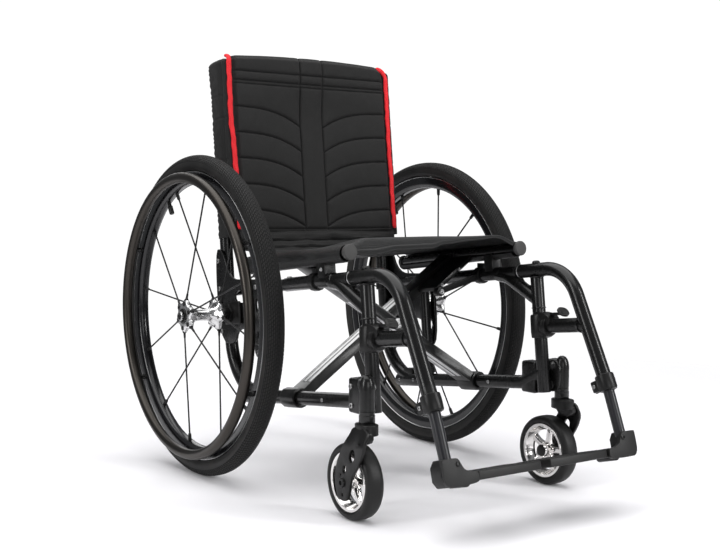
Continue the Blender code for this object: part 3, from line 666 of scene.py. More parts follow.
def hub(side, s, body):
    """Barrel with two six-lobed flanges; each lobe carries one spoke."""
    rings = [  # x, radius, lobe height, flange (0 outer, 1 inner)
        (0.3088, 0.014, 0, 0), (0.3086, 0.0205, 0.0002, 0), (0.3078, 0.0255, 0.0018, 0),
        (0.3062, 0.0284, 0.0032, 0), (0.3035, 0.029, 0.0038, 0), (0.3008, 0.0286, 0.0034, 0),
        (0.2985, 0.0262, 0.0026, 0), (0.2955, 0.022, 0.0018, 0), (0.2915, 0.016, 0.0012, 0),
        (0.287, 0.0128, 0.0003, 0), (0.281, 0.0112, 0, 0), (0.27, 0.0106, 0, 0),
        (0.259, 0.0112, 0, 1), (0.254, 0.013, 0.0004, 1), (0.25, 0.0164, 0.0014, 1),
        (0.2462, 0.0226, 0.0018, 1), (0.2435, 0.0262, 0.0028, 1), (0.2412, 0.0284, 0.0034, 1),
        (0.2385, 0.029, 0.0038, 1), (0.236, 0.0284, 0.0032, 1), (0.2346, 0.0245, 0.0018, 1),
        (0.234, 0.0175, 0.0002, 1), (0.233, 0.015, 0, 1), (0.2255, 0.0142, 0, 1),
        (0.2246, 0.0134, 0, 1), (0.2246, 0.0077, 0, 1), (0.3088, 0.0077, 0, 0),
    ]
    bm = turned([(s * x, radius) for x, radius, _, _ in rings], HUB, steps=120, closed=True)
    lobes = {(round(x, 4), round(radius, 4)): (lobe, flange) for x, radius, lobe, flange in rings}
    for vert in bm.verts:
        out = vert.co - HUB
        radius = math.hypot(out.y, out.z)
        lobe, flange = lobes[(round(abs(out.x), 4), round(radius, 4))]
        if lobe:
            angle = math.atan2(out.z, -out.y) - math.radians(SPOKES_AT + 30 * flange)
            grown = (radius + lobe * math.cos(6 * angle)) / radius
            vert.co = HUB + Vector((out.x, out.y * grown, out.z * grown))
    piece(f"{side}_lobed_hub", bm, HUB_METAL, body, [f"{side}_wheel_hub"], 50)
    inserts = []
    for flange, x, reach in ((0, 0.3076, 0.0228), (1, 0.2462, 0.0212)):
        for count in range(6):
            out, _ = spoke_directions(math.radians(SPOKES_AT + 30 * flange + 60 * count))
            centre = HUB + Vector((s * x, 0, 0)) + out * reach
            inserts.append(bolt_head(centre, (s, 0, 0), 0.004, 0.0013))
    piece(f"{side}_hub_inserts", joined(*inserts), NYLON_BLACK, body)
    cap = mm(308.8, 7.8, 308.8, 13.8, 309.8, 14.5, 310.6, 14.1, 311, 13, 311, 10.2, 309.6, 9.8,
             309.6, 7.8)
    piece(f"{side}_hub_cap_ring", turned(mirrored(cap, s), HUB, closed=True),
          NYLON_BLACK, body)


def handrim(side, s, body):
    """Push ring and the six tabs that hold it to the rim."""
    middle = HUB + Vector((s * HANDRIM_X, 0, 0))
    tube_r = 0.0098
    profile = [(tube_r * math.cos(math.tau * i / 20), 0.262 + tube_r * math.sin(math.tau * i / 20))
               for i in range(20)]
    piece(f"{side}_push_ring", turned(profile, middle, steps=180, closed=True), ANODISED, body,
          [f"{side}_handrim"], 60)
    tabs = []
    for index in range(6):
        out, along = spoke_directions(math.radians(33 + 60 * index))
        ring = HUB + out * 0.2615 + Vector((s * 0.3015, 0, 0))
        foot = HUB + out * 0.2635 + Vector((s * 0.2893, 0, 0))
        line = [ring, ring.lerp(foot, 0.4), ring.lerp(foot, 0.8), foot]
        tabs.append(swept(line, [0.003, 0.0026, 0.0028, 0.0034], 16, 2.0, along))
        screw_foot = foot + Vector((s * 0.0004, 0, 0)) - out * 0.0002
        tabs.append(bolt_head(screw_foot, (s, 0, 0), 0.0022, 0.0012, finish=1))
    piece(f"{side}_push_ring_tabs", joined(*tabs), [FRAME_BLACK, STEEL], body)


def wheel_axle(side, s):
    """Quick-release axle, its button, and the sleeve it slides into."""
    frame_body = f"{side}_frame"
    profile = mm(176, 0, 176, 4.8, 178.5, 6, 309, 6, 312.2, 6.2, 312.4, 8.6, 313.4, 9.5, 315.4, 9.5,
                 316.5, 8.4, 316.5, 5.6, 312, 5.4, 308.5, 5.4, 308.5, 0)
    piece(f"{side}_quick_axle", turned(mirrored(profile, s), HUB, steps=40), STEEL,
          frame_body, [f"{side}_wheel_axle"])
    button = mm(312, 0, 312, 4.6, 318, 4.6, 319.2, 3.8, 319.5, 2, 319.4, 0)
    piece(f"{side}_quick_axle_button", turned(mirrored(button, s), HUB, steps=28),
          NYLON_BLACK, f"{side}_axle_button", [f"{side}_axle_button"])
    sleeve = mm(180, 6.8, 180, 13, 181.2, 14, 186, 14, 187.2, 12, 222.5, 12, 223.5, 11, 223.5, 6.8)
    nut = turned([(s * 0.2078, 0.0125), (s * 0.2078, 0.0202), (s * 0.2165, 0.0202),
                  (s * 0.2165, 0.0125)], HUB, steps=6, closed=True)
    holder = block((s * 0.2076, -0.046, -0.0215), (s * 0.213, 0.015, 0.0225), 0.0024, 3, SIDE_TURN)
    bm = joined(turned(mirrored(sleeve, s), HUB, closed=True), rounded_edges(nut, 0.0006),
                holder)
    piece(f"{side}_axle_sleeve_and_nut", bm, NYLON_BLACK, frame_body,
          [f"{side}_axle_sleeve"])


# ---- casters ---------------------------------------------------------------------------
def caster(side, s):
    """One-armed fork, axle bolt, five-spoke dish and tyre."""
    x = s * CASTER_X
    fork_body, wheel_body = f"{side}_caster_fork", f"{side}_caster_wheel"
    axle = level(x, *CASTER_AXLE)
    corners = mm(500, 158, 504, 140, 500, 120, 487, 97, 466, 74, 461, 46, 453, 33.5, 433, 33.5,
                 422.5, 48, 420, 78, 428, 100, 441, 121, 455, 142, 458, 158)
    leg_x = x + s * 0.0192
    forward, up = Vector((0, -1, 0)), Vector((0, 0, 1))
    lean = (forward * 0.4 + up * 0.9165)
    square = (forward * 0.9165 - up * 0.4)
    holes = [oval(level(leg_x, 0.4695, 0.1115), square * 0.0072, lean * 0.0112),
             oval(level(leg_x, 0.448, 0.0865), square * 0.0042, lean * 0.0072),
             oval(level(leg_x, 0.4428, 0.044), forward * 0.0026, up * 0.0026, 16),
             oval(level(leg_x, 0.438, 0.076), forward * 0.0018, up * 0.0018, 16)]
    outline = eased([level(leg_x, f, z) for f, z in corners], 2)
    leg = plate(outline, Vector((s * 0.0058, 0, 0)), holes, 0.0012, 3)
    for vert in leg.verts:
        vert.co.x -= s * 0.009 * smooth_step(0.128, 0.158, vert.co.z)
    crown = [level(x - s * 0.0145, f, 0.145) for f in (0.456, 0.499)]
    crown += [level(x + s * 0.0165, f, 0.145) for f in (0.501, 0.455)]
    head = plate(eased(crown, 2), Vector((0, 0, 0.0175)), edge=0.003, segments=4)
    web = plate(eased([level(x + s * 0.014, f, z) for f, z in
                       mm(499, 156, 501, 136, 482, 129, 458, 138, 457, 156)], 1),
                Vector((-s * 0.012, 0, 0)), edge=0.002)
    stem = rod(level(x, CASTER_STEM, 0.155), level(x, CASTER_STEM, 0.236), 0.0068)
    collar = turned([(0, 0.009), (0, 0.0136), (0.001, 0.0136), (0.001, 0.009)],
                    level(x, CASTER_STEM, 0.1625), (0, 0, 1), 32, closed=True)
    pin = bolt_head(level(x + s * 0.0243, 0.487, 0.133), (s, 0, 0), 0.0026, 0.0008)
    bm = joined(leg, head, web, stem, collar, pin)
    piece(f"{side}_one_arm_fork", bm, [NYLON_BLACK, STEEL], fork_body,
          [f"{side}_caster_fork"], 38)

    cap = mm(-19.8, 0, -19.9, 7, -19, 10, -17.8, 10.8, -17, 10.8, -17, 4.4, 19, 4.4)
    outer = mm(24.7, 0, 24.7, 7.8, 27, 7.8, 28.5, 6.8, 28.5, 4, 26.2, 3.6, 26.2, 0)
    bm = joined(turned(mirrored(cap, s), axle, steps=36),
                turned(mirrored(outer, s), axle, steps=36))
    piece(f"{side}_caster_bolt_and_cap", bm, NYLON_BLACK, fork_body,
          [f"{side}_caster_axle"])

    barrel = mm(-14.6, 44.8, -15, 49.2, -14, 50, 14, 50, 15, 49.2, 14.6, 44.8, 12.8, 43.8, 6, 41.2,
                2, 37.2, -2, 37.2, -6, 41.2, -12.8, 43.8)
    centre = mm(-16.3, 5.6, -16.3, 9.8, -15, 11.2, -6, 13, 6, 13, 15, 11.2, 16.3, 9.8, 16.3, 5.6)
    shapes = [turned(barrel, axle, steps=96, closed=True), turned(centre, axle, steps=48, closed=True)]
    for index in range(5):
        turn = Matrix.Translation(axle) @ Matrix.Rotation(math.tau * (index + 0.15) / 5, 4, "X")
        arm = mm(-8.5, 10, -5.8, 19, -5, 28, -7.4, 39.2, 7.4, 39.2, 5, 28, 5.8, 19, 8.5, 10)
        outline = eased([Vector((-0.0048, y, z)) for y, z in arm], 1)
        star = plate(outline, Vector((0.0096, 0, 0)), edge=0.0018, segments=3)
        star.transform(turn)
        shapes.append(star)
    piece(f"{side}_caster_dish", joined(*shapes), CHROME, wheel_body,
          [f"{side}_caster_rim"], 40)
    rubber = mm(-13, 50.2, -15, 51.2, -16, 53.5, -16.3, 56.2, -15.6, 59, -13.8, 61.2, -10.8, 62.8,
                -6, 63.4, 0, 63.5)
    rubber += [(-a, r) for a, r in reversed(rubber[:-1])]
    piece(f"{side}_caster_tyre_round", turned(rubber, axle, steps=96, closed=True), CASTER_RUBBER,
          wheel_body, [f"{side}_caster_tyre"], 60)


def caster_housing(side, s):
    """Elbow that carries the caster's stem, bolted through the front post."""
    x = s * CASTER_X
    barrel = mm(164, 9, 164, 12.4, 165.2, 13.2, 176.5, 13.2, 177.2, 12.2, 178, 12.2, 178.7, 12.6,
                182, 12.6, 182.6, 11.9, 183.4, 11.9, 184, 12.7, 216, 12.9, 223, 12.7, 230, 11.7,
                235.5, 9.6, 239.5, 6.2, 241, 3, 241.2, 0)
    shapes = [turned(barrel, level(x, CASTER_STEM, 0), (0, 0, 1), 44)]
    shoulder = route([level(s * 0.206, 0.4555, 0.222), level(x - s * 0.0005, CASTER_STEM, 0.2275),
                      level(x, CASTER_STEM, 0.196)], (0.0125,), 10)
    shapes.append(swept(shoulder, 0.0122, 28))
    shapes.append(rod(level(s * 0.205, 0.458, 0.188), level(x, CASTER_STEM - 0.003, 0.188), 0.01, 24,
                      0.002))
    outline = [level(s * 0.2019, f, z) for f, z in
               mm(442, 175.5, 480, 175.5, 485, 195, 485, 234, 442, 234)]
    shapes.append(plate(eased(outline, 2), Vector((s * 0.006, 0, 0)), edge=0.0016, segments=3))
    low, high = sorted((s * 0.179, s * 0.2072))
    shapes.append(block((low, HUB.y - 0.4445, 0.1705), (high, HUB.y - 0.4085, 0.2285), 0.0045, 4))
    for forward, z in ((0.418, 0.2148), (0.42, 0.183)):
        shapes.append(bolt_head(level(s * 0.2071, forward, z), (s, 0, 0), 0.0046, 0.0028, finish=1))
    piece(f"{side}_caster_bracket", joined(*shapes), [FRAME_BLACK, STEEL], f"{side}_frame",
          [f"{side}_caster_housing"], 40)


# ---- side frames -----------------------------------------------------------------------
def side_frame(side, s):
    """Back tube, side tubes, front post, rail rest and axle carrier."""
    body, x = f"{side}_frame", s * FRAME_X
    post = rod(at(x, BACK_U, -0.052), at(x, BACK_U, 0.485), 0.0125, edge=0.0015)
    clamp = turned(mm(-10.5, 12.2, -10.5, 15, -9.5, 16, 9.5, 16, 10.5, 15, 10.5, 12.2),
                   at(x, BACK_U, UPPER_V), SEAT_UP, 32, closed=True)
    piece(f"{side}_back_tube", joined(post, in_finish(clamp, 1)), [FRAME_BLACK, NYLON_BLACK], body,
          [f"{side}_back_post"])

    corners = [at(x, BACK_U, -0.048), at(x, BACK_U, LOWER_V), at(x, 0.393, LOWER_V),
               at(x, POST_U, -0.14)]
    lower = swept(route(corners, (0.1095, 0.05), 16), TUBE_R, 28)
    ring = rod(at(x, 0.006, LOWER_V), at(x, 0.082, LOWER_V), 0.0142, 28, 0.001)
    lug = block((x - 0.009, -0.06, LOWER_V + 0.008), (x + 0.009, -0.03, LOWER_V + 0.024), 0.002, 3,
                SIDE_TURN)
    heads = [bolt_head(at(x - 0.0125, u, LOWER_V), (-1, 0, 0), 0.0034, 0.0016, finish=2)
             for u in (0.305, 0.02, 0.068)]
    heads += [bolt_head(at(x + 0.0125, u, LOWER_V), (1, 0, 0), 0.0034, 0.0016, finish=2)
              for u in (0.305, 0.02, 0.068)]
    piece(f"{side}_lower_side_tube", joined(lower, ring, in_finish(lug, 1), *heads),
          [FRAME_BLACK, NYLON_BLACK, STEEL], body, [f"{side}_lower_tube"])

    upper = rod(at(x, BACK_U, UPPER_V), at(x, 0.395, UPPER_V), 0.011, 24, 0.0008)
    fat = rod(at(x, 0.186, UPPER_V), at(x, 0.352, UPPER_V), 0.0125, 28, 0.0035)
    middle_post = swept([at(x, MID_POST_U, LOWER_V), at(x, MID_POST_U, UPPER_V)], 0.01, 20)
    ring = mm(-6, 9.8, -6, 12.2, -5, 13, 5, 13, 6, 12.2, 6, 9.8)
    collars = [in_finish(turned(ring, at(x, MID_POST_U, v),
                                SEAT_UP, 28, closed=True), 1)
               for v in (LOWER_V + 0.02, UPPER_V - 0.018)]
    top_bolt = bolt_head(at(x, 0.2, UPPER_V + 0.0122), SEAT_UP, 0.0045, 0.0022, finish=2)
    piece(f"{side}_upper_side_tube", joined(upper, fat, middle_post, top_bolt, *collars),
          [FRAME_BLACK, NYLON_BLACK, STEEL], body, [f"{side}_upper_tube"])

    front = rod(at(x, POST_U, -0.178), at(x, POST_U, 0.0315), 0.012, 28, 0.0012)
    bend = [at(x, 0.34, 0.0425), at(x, 0.367, 0.037), at(x, POST_U - 0.003, -0.008)]
    elbow = swept(route(bend, (0.045,), 12), 0.0122, 28)
    bead = turned([(-0.0012, 0.0124), (0, 0.0138), (0.0012, 0.0124)], at(x, POST_U, -0.024),
                  SEAT_UP, 28, closed=True)
    fillet = plate(eased([at(x - 0.0045, u, v) for u, v in
                          mm(398, 40, 380, 44, 385, 20, 415, 6,
                             436, 2, 436, 20, 427, 16.5, 410, 22)], 2),
                   Vector((0.009, 0, 0)), edge=0.002, segments=3)
    piece(f"{side}_front_post_tube", joined(front, elbow, bead, fillet), FRAME_BLACK, body,
          [f"{side}_front_post"])

    shapes = [refined(f"{side}_rail_saddle", 0.0016, 3)]
    shapes.append(bolt_head(at(x + s * 0.0113, 0.325, 0.064), (s, 0, 0), 0.0036, 0.0016, finish=1))
    piece(f"{side}_rail_rest", joined(*shapes), [NYLON_BLACK, STEEL], body,
          [f"{side}_rail_saddle"], 40)

    outline = [at(s * CARRIER_X, u, v) for u, v in
               mm(-52, -52, -52, 128, -22, 128, 2, 68, 60, 62, 122, 60, 122, -88, 88, -88, 86, -34,
                  26, -30, 12, -62)]
    across, upright = SEAT_FORWARD * 0.009, SEAT_UP * 0.009
    holes = [eased([at(s * CARRIER_X, u, v) for u, v in
                    ((0.02, 0.019), (0.08, 0.019), (0.08, 0.043), (0.02, 0.043))], 2),
             oval(at(s * CARRIER_X, 0.105, 0.012), across * 0.55, upright * 1.5),
             oval(at(s * CARRIER_X, 0.105, -0.05), across * 0.55, upright * 1.5)]
    holes.append(oval(at(s * CARRIER_X, 0, 0), across * 1.42, upright * 1.42, 32))
    plate_shape = plate(eased(outline, 2), Vector((s * 0.0055, 0, 0)), holes, 0.0012, 3)
    heads = [bolt_head(at(s * 0.2074, u, v), (s, 0, 0), 0.0048, 0.003, finish=1)
             for u, v in mm(-38, 105, -38, 50, -38, -34, 106, 46, 106, -76)]
    piece(f"{side}_axle_carrier", joined(plate_shape, *heads), [FRAME_BLACK, STEEL], body,
          [f"{side}_axle_plate"], 40)


# ---- cross brace -----------------------------------------------------------------------
def arm_axes(s):
    """Where one arm of the brace starts, which way it runs, and its upper face's direction."""
    start, end = at(s * FRAME_X, 0, LOWER_V), at(-s * RAIL_X, 0, RAIL_V)
    along = (end - start).normalized()
    normal = Vector((-along.z, 0, along.x)) * (1 if along.x > 0 else -1)
    return start, along, normal.normalized()


def cross_arm(name, s, u_range):
    """One square arm of the brace, with silver strips on its two faces."""
    start, along, normal = arm_axes(s)
    shapes = [refined(name, 0.0014, 3, 44)]
    width = u_range[1] - u_range[0]
    for face in (1, -1):
        for lane, share in ((0.09, 0.05), (0.22, 0.22), (0.56, 0.27)):
            low = start + along * 0.036 + normal * face * 0.0088
            low += SEAT_FORWARD * (u_range[0] + width * lane)
            high, wide = low + along * 0.284, SEAT_FORWARD * width * share
            strip = plate([low, high, high + wide, low + wide], normal * face * 0.0006,
                          edge=0.0001, segments=1)
            shapes.append(in_finish(strip, 1))
    for reach in (0.348, 0.4):
        centre = start + along * reach + SEAT_FORWARD * 0.2752
        shapes.append(bolt_head(centre, SEAT_FORWARD, 0.0034, 0.0014, finish=2))
    piece(name + "_tube", joined(*shapes), [GLOSS_BLACK, STRIP_SILVER, STEEL], name,
          [name], 38)


def brace():
    """The two arms with their bolt, the folding links and the seat tubes."""
    cross_arm("cross_arm_a", -1, (0.174, 0.216))
    cross_arm("cross_arm_b", 1, (0.218, 0.26))
    start, along, _ = arm_axes(1)
    pivot = start + along * (-start.x / along.x)
    bm = joined(rod(pivot + SEAT_FORWARD * 0.168, pivot + SEAT_FORWARD * 0.266, 0.006),
                bolt_head(pivot + SEAT_FORWARD * 0.2604, SEAT_FORWARD, 0.0105, 0.007),
                bolt_head(pivot + SEAT_FORWARD * 0.1736, -SEAT_FORWARD, 0.0105, 0.007))
    piece("brace_centre_bolt", bm, STEEL, "cross_arm_b", ["centre_bolt"])

    for side, s in SIDES:
        hinge = at(s * FRAME_X, 0, UPPER_V)
        _, arm_along, _ = arm_axes(-s)
        free = at(s * RAIL_X, 0, RAIL_V) - arm_along * 0.13
        shapes = [refined(f"{side}_fold_link", 0.001, 3, 44)]
        shapes.append(bolt_head(free + SEAT_FORWARD * 0.297, SEAT_FORWARD, 0.0052, 0.003, finish=1))
        tab_low = hinge + at(0, 0.283, 0.014) - at(0, 0, 0)
        shapes.append(block(tab_low + Vector((-0.004, -0.014, 0)),
                            tab_low + Vector((0.004, 0, 0.01)), 0.001))
        piece(f"{side}_folding_link", joined(*shapes), [NYLON_BLACK, STEEL], f"{side}_fold_link",
              [f"{side}_fold_link"], 38)
        rail_body = "cross_arm_a" if side == "left" else "cross_arm_b"
        x = s * RAIL_X
        piece(f"{side}_seat_tube", rod(at(x, 0.045, RAIL_V), at(x, 0.404, RAIL_V), 0.011, 28, 0.0008),
              FRAME_BLACK, rail_body, [f"{side}_seat_rail"])
        cap = mm(-6, 10.5, -6, 12.8, -2, 13.8, 0.8, 13.6, 2.2, 12.2, 2.6, 8, 2.7, 0)
        shapes = [turned(cap, at(x, 0.4035, RAIL_V), SEAT_FORWARD, 40)]
        shapes.append(turned([(-a, r) for a, r in cap], at(x, 0.0405, RAIL_V), SEAT_FORWARD, 40))
        piece(f"{side}_seat_tube_caps", joined(*shapes), CAP_GREY, rail_body)


# ---- swing-away footrests --------------------------------------------------------------
def down_tube(x, distance, aside=0.0):
    """A point down the hanger from the end of its bend; aside moves it square to the tube, forward."""
    u, v = BEND_END
    return at(x, u + distance * math.cos(HANGER_DROP) + aside * math.sin(HANGER_DROP),
              v - distance * math.sin(HANGER_DROP) + aside * math.cos(HANGER_DROP))


def hanger(side, s):
    """Bent tube on its pivot, latch, release paddle and height clamp."""
    body, x = f"{side}_hanger", s * FRAME_X
    corner_u = HANGER_BEND_U + HANGER_BEND_R * math.tan(HANGER_DROP / 2)
    path = route([at(x, 0.4035, UPPER_V), at(x, corner_u, UPPER_V), down_tube(x, 0.1765)],
                 (HANGER_BEND_R,), 20)
    stub_end = BEND_END[0] + (BEND_END[1] - STUB_V) / math.tan(HANGER_DROP)
    stub = rod(at(x, 0.47, STUB_V), at(x, stub_end, STUB_V), 0.013, 28)
    weld = turned([(-0.006, 0.013), (-0.003, 0.0139), (0, 0.0143)], at(x, stub_end - 0.011, STUB_V),
                  SEAT_FORWARD, 28)
    end_cap = turned(mm(0, 0, 0, 10, 0.8, 12.2, 2.2, 13.1, 3.6, 12.7),
                     at(x, 0.4012, UPPER_V), SEAT_FORWARD, 32)
    pivot_head = turned(mm(0, 7.2, 3, 7.2, 5.2, 5.5, 5.8, 3, 5.8, 0),
                        at(x, POST_U, UPPER_V + 0.0115), SEAT_UP, 24)
    spacer = turned(mm(0, 9, 0, 12.7, 1.2, 13.1, 2.2, 12.7, 2.2, 9),
                    at(x, POST_U, 0.0312), SEAT_UP, 32, closed=True)
    bm = joined(swept(path, TUBE_R, 32), stub, weld, in_finish(end_cap, 1), in_finish(pivot_head, 2),
                in_finish(spacer, 2))
    piece(f"{side}_hanger_tube_bent", bm, [FRAME_BLACK, STEEL, NYLON_BLACK], body,
          [f"{side}_hanger_tube"])

    clasp = mm(-20.5, 13, -20.5, 16.6, -18.5, 18.6, -10, 19.4, 6, 19.2, 13, 18, 19, 17.6, 22.2, 16,
               22.2, 13)
    centre = at(x, POST_U, STUB_V)
    collar = turned(clasp, centre, SEAT_UP, 48, closed=True)
    opened = [v for v in collar.verts if (v.co - centre).dot(SEAT_FORWARD) < -0.007]
    bmesh.ops.delete(collar, geom=opened, context="VERTS")
    bmesh.ops.holes_fill(collar, edges=collar.edges, sides=0)
    barrel = turned(mm(8, 15, 12.5, 17.2, 20, 18, 21.2, 17.2, 22.2, 17.2, 23, 18.4, 26.2, 18.4,
                       27.4, 17.2, 27.6, 13.2),
                    centre, SEAT_FORWARD, 44)
    crest = plate(eased([at(x - 0.013, u, v) for u, v in
                         mm(436, -46, 440, -32.5, 456, -31.5, 478, -38.5, 484, -50, 476, -56,
                            450, -58)], 2), Vector((0.026, 0, 0)), edge=0.004,
                  segments=4)
    keel = plate(eased([at(x - 0.01, u, v) for u, v in
                        mm(438, -66, 470, -66, 471, -73.5, 458, -80, 440, -80)], 2),
                 Vector((0.02, 0, 0)), edge=0.003, segments=4)
    piece(f"{side}_latch_saddle", joined(collar, barrel, crest, keel), NYLON_BLACK, body,
          [f"{side}_hanger_latch"], 40)

    outline = eased([Vector((px, 0, py)) for px, py in
                     ((-0.011, -0.0095), (0.011, -0.0095), (0.0118, 0.0105), (-0.0118, 0.0105))], 2)
    paddle = plate(outline, Vector((0, 0.005, 0)), edge=0.0016, segments=3)
    grips = [block((-0.008, -0.0006, high), (0.008, 0.0004, high + 0.0012), 0.0004, 2)
             for high in (-0.005, -0.0015, 0.002, 0.0055)]
    tip = Matrix.Translation(Vector((x, -0.5075, LEVER_V + 0.0035)))
    tilt = Matrix.Rotation(math.radians(-42), 4, "X") @ Matrix.Rotation(math.radians(8), 4, "Y")
    paddle = joined(paddle, *grips)
    paddle.transform(SIDE_TURN @ tip @ tilt)
    neck = block((x - 0.0058, -0.504, LEVER_V - 0.0035), (x + 0.0058, -0.476, LEVER_V + 0.002),
                 0.0016, 3, SIDE_TURN)
    piece(f"{side}_release_paddle", joined(paddle, in_finish(neck, 1)), [PADDLE_GREY, NYLON_BLACK],
          f"{side}_release_lever", [f"{side}_release_lever"])

    along = (down_tube(x, 1) - down_tube(x, 0)).normalized()
    ring = mm(-14, 12.9, -14, 15, -12.8, 16.3, -3, 16.6, 11, 16, 13.5, 15, 14, 12.5, 15, 11.2,
              15, 9.7)
    collar = turned(ring, down_tube(x, CLAMP_DOWN), along, 40)
    ears = block((-0.0088, 0.0125, -0.01), (0.0088, 0.029, 0.01), 0.0028, 4)
    slot = block((-0.0012, 0.015, -0.0108), (0.0012, 0.0296, 0.0108), 0.0003, 2)
    rear = (down_tube(x, 0) - down_tube(x, 0, 1)).normalized()
    turn = Matrix((along.cross(rear), rear, along)).transposed().to_4x4()
    for bm in (ears, slot):
        bm.transform(Matrix.Translation(down_tube(x, CLAMP_DOWN)) @ turn)
    screw = bolt_head(down_tube(x - 0.0088, CLAMP_DOWN, -0.0215), (-1, 0, 0), 0.0034, 0.002, finish=1)
    nut = bolt_head(down_tube(x + 0.0088, CLAMP_DOWN, -0.0215), (1, 0, 0), 0.0034, 0.002, finish=1)
    piece(f"{side}_height_clamp", joined(collar, ears, slot, screw, nut), [NYLON_BLACK, STEEL], body,
          [f"{side}_extension_clamp"], 40)


def plate_axes(s):
    """From the footplate's own axes (outward, fore, up) to the row frame."""
    fore = Vector((0, -math.cos(PLATE_TILT), math.sin(PLATE_TILT)))
    normal = Vector((0, math.sin(PLATE_TILT), math.cos(PLATE_TILT)))
    turn = Matrix((Vector((s, 0, 0)), fore, normal)).transposed().to_4x4()
    return Matrix.Translation(level(s * PLATE_PIVOT[0], *PLATE_PIVOT[1:])) @ turn


def footrest(side, s):
    """Leg tube with its foot bracket, and the board that flips up on it."""
    x, axes = s * FRAME_X, plate_axes(s)
    drops = [0.1 + 0.156 * i / 14 for i in range(15)]
    shaft = swept([down_tube(x, d, -0.009 * smooth_step(0.15, 0.29, d)) for d in drops], 0.0095, 28)
    front = mm(45.5, -5, 45.5, 35, 43, 37.2, 19, 37.2, 13.5, 34.5, 9.5, 26, 4.5, 17.5, -8, 13.8,
               -15.6, 13, -20, 12.5, -21.5, 1, -18, -3.6, 0, -5.2, 20, -5.5)
    face = plate(eased([Vector((px, 0.01, pz)) for px, pz in front], 2), Vector((0, 0.007, 0)),
                 edge=0.0018, segments=4)
    heel = plate(eased([Vector((px, -0.016, pz)) for px, pz in
                        ((0.0165, -0.005), (0.0455, -0.005), (0.0455, 0.037), (0.0165, 0.037))], 1),
                 Vector((0, 0.03, 0)), edge=0.0022, segments=4)
    pin = rod(Vector((0, -0.028, 0)), Vector((0, 0.0125, 0)), 0.0042, 16)
    screw = bolt_head(Vector((0.016, 0.0168, 0.0275)), (0, 1, 0), 0.0042, 0.0016, finish=1)
    holder = joined(face, heel, pin, screw)
    holder.transform(axes)
    bmesh.ops.recalc_face_normals(holder, faces=holder.faces)
    for face in holder.faces:
        face.material_index = 1 if face.material_index else 2
    piece(f"{side}_leg_tube_and_foot_bracket", joined(shaft, holder),
          [SHAFT_BLACK, NYLON_BLACK, PLATE_BLACK], f"{side}_footrest",
          [f"{side}_extension_tube"], 38)

    inner = PLATE_PIVOT[0] - 0.01
    board = [(-inner, -0.0695), (-0.017, -0.0695), (-0.015, -0.0675), (-0.015, -0.028),
             (-0.013, -0.0258), (0.0155, -0.0258), (0.0155, 0.0094), (-0.0235, 0.0094),
             (-0.0235, 0.0136), (-inner, 0.0136)]
    slab = plate([Vector((px, fore, -0.0012)) for px, fore in board], Vector((0, 0, 0.014)),
                 edge=0.0024, segments=4)
    hinge_lug = rod(Vector((0, -0.0298, 0)), Vector((0, 0.0097, 0)), 0.0085, 24, 0.0008)
    ribs = [block((-inner + 0.012, fore, 0.012), (-0.026, fore + 0.003, 0.0136), 0.0006, 2)
            for fore in (-0.062, -0.053, -0.044, -0.035, -0.026, -0.017, -0.008)]
    bm = joined(slab, hinge_lug, *ribs)
    bm.transform(axes)
    bmesh.ops.recalc_face_normals(bm, faces=bm.faces)
    piece(f"{side}_foot_board", bm, PLATE_BLACK, f"{side}_footplate",
          [f"{side}_footplate"], 38)


# ---- cloth -----------------------------------------------------------------------------
def seam_distance(x, v):
    """How far a point of the back pad is from the nearest sewn channel."""
    near = min(abs(abs(x) - PAD_SEAM_X), abs(v - 0.477), abs(v - 0.4585), abs(v - 0.452) + 0.0006,
               abs(v - 0.1635))
    if abs(x) > PAD_SEAM_X:
        share = (PAD_HALF_X - abs(x)) / (PAD_HALF_X - PAD_SEAM_X)
        slope = math.sqrt(1 + (0.102 * share * share / 0.1545) ** 2)
        for outer in CURVE_OUTER_V:
            near = min(near, abs(v - (outer - SEAM_DROP * share ** 3)) / slope)
    return near


def pad_front(x, v):
    """How far forward the back pad's face stands at one point."""
    slack = 0.0125 * (1 - (x / PAD_HALF_X) ** 2) * smooth_step(0.49, 0.38, v)
    distance = seam_distance(x, v)
    channel = math.exp(-(distance / 0.0017) ** 2)
    pillow = 0.0026 * (1 - math.exp(-distance / 0.008)) - 0.0036 * channel
    edge = 1 - smooth_step(PAD_HALF_X - 0.009, PAD_HALF_X, abs(x))
    rolled = smooth_step(0.009, 0, top_of_pad(x) - v)
    ripple = 0.0008 * noise.noise(Vector((x * 26, v * 20, 1.7)))
    ripple += 0.0005 * noise.noise(Vector((x * 70, v * 45, 5.1)))
    return 0.0195 - slack + (pillow + ripple) * edge - 0.005 * (1 - edge) - 0.006 * rolled


def top_of_pad(x):
    """The pad's crowned upper edge, rounded off at its left corner."""
    corner = max(0.0, x - (PAD_HALF_X - 0.024))
    return 0.506 + 0.0065 * (1 - (x / PAD_HALF_X) ** 2) - 30 * corner ** 2


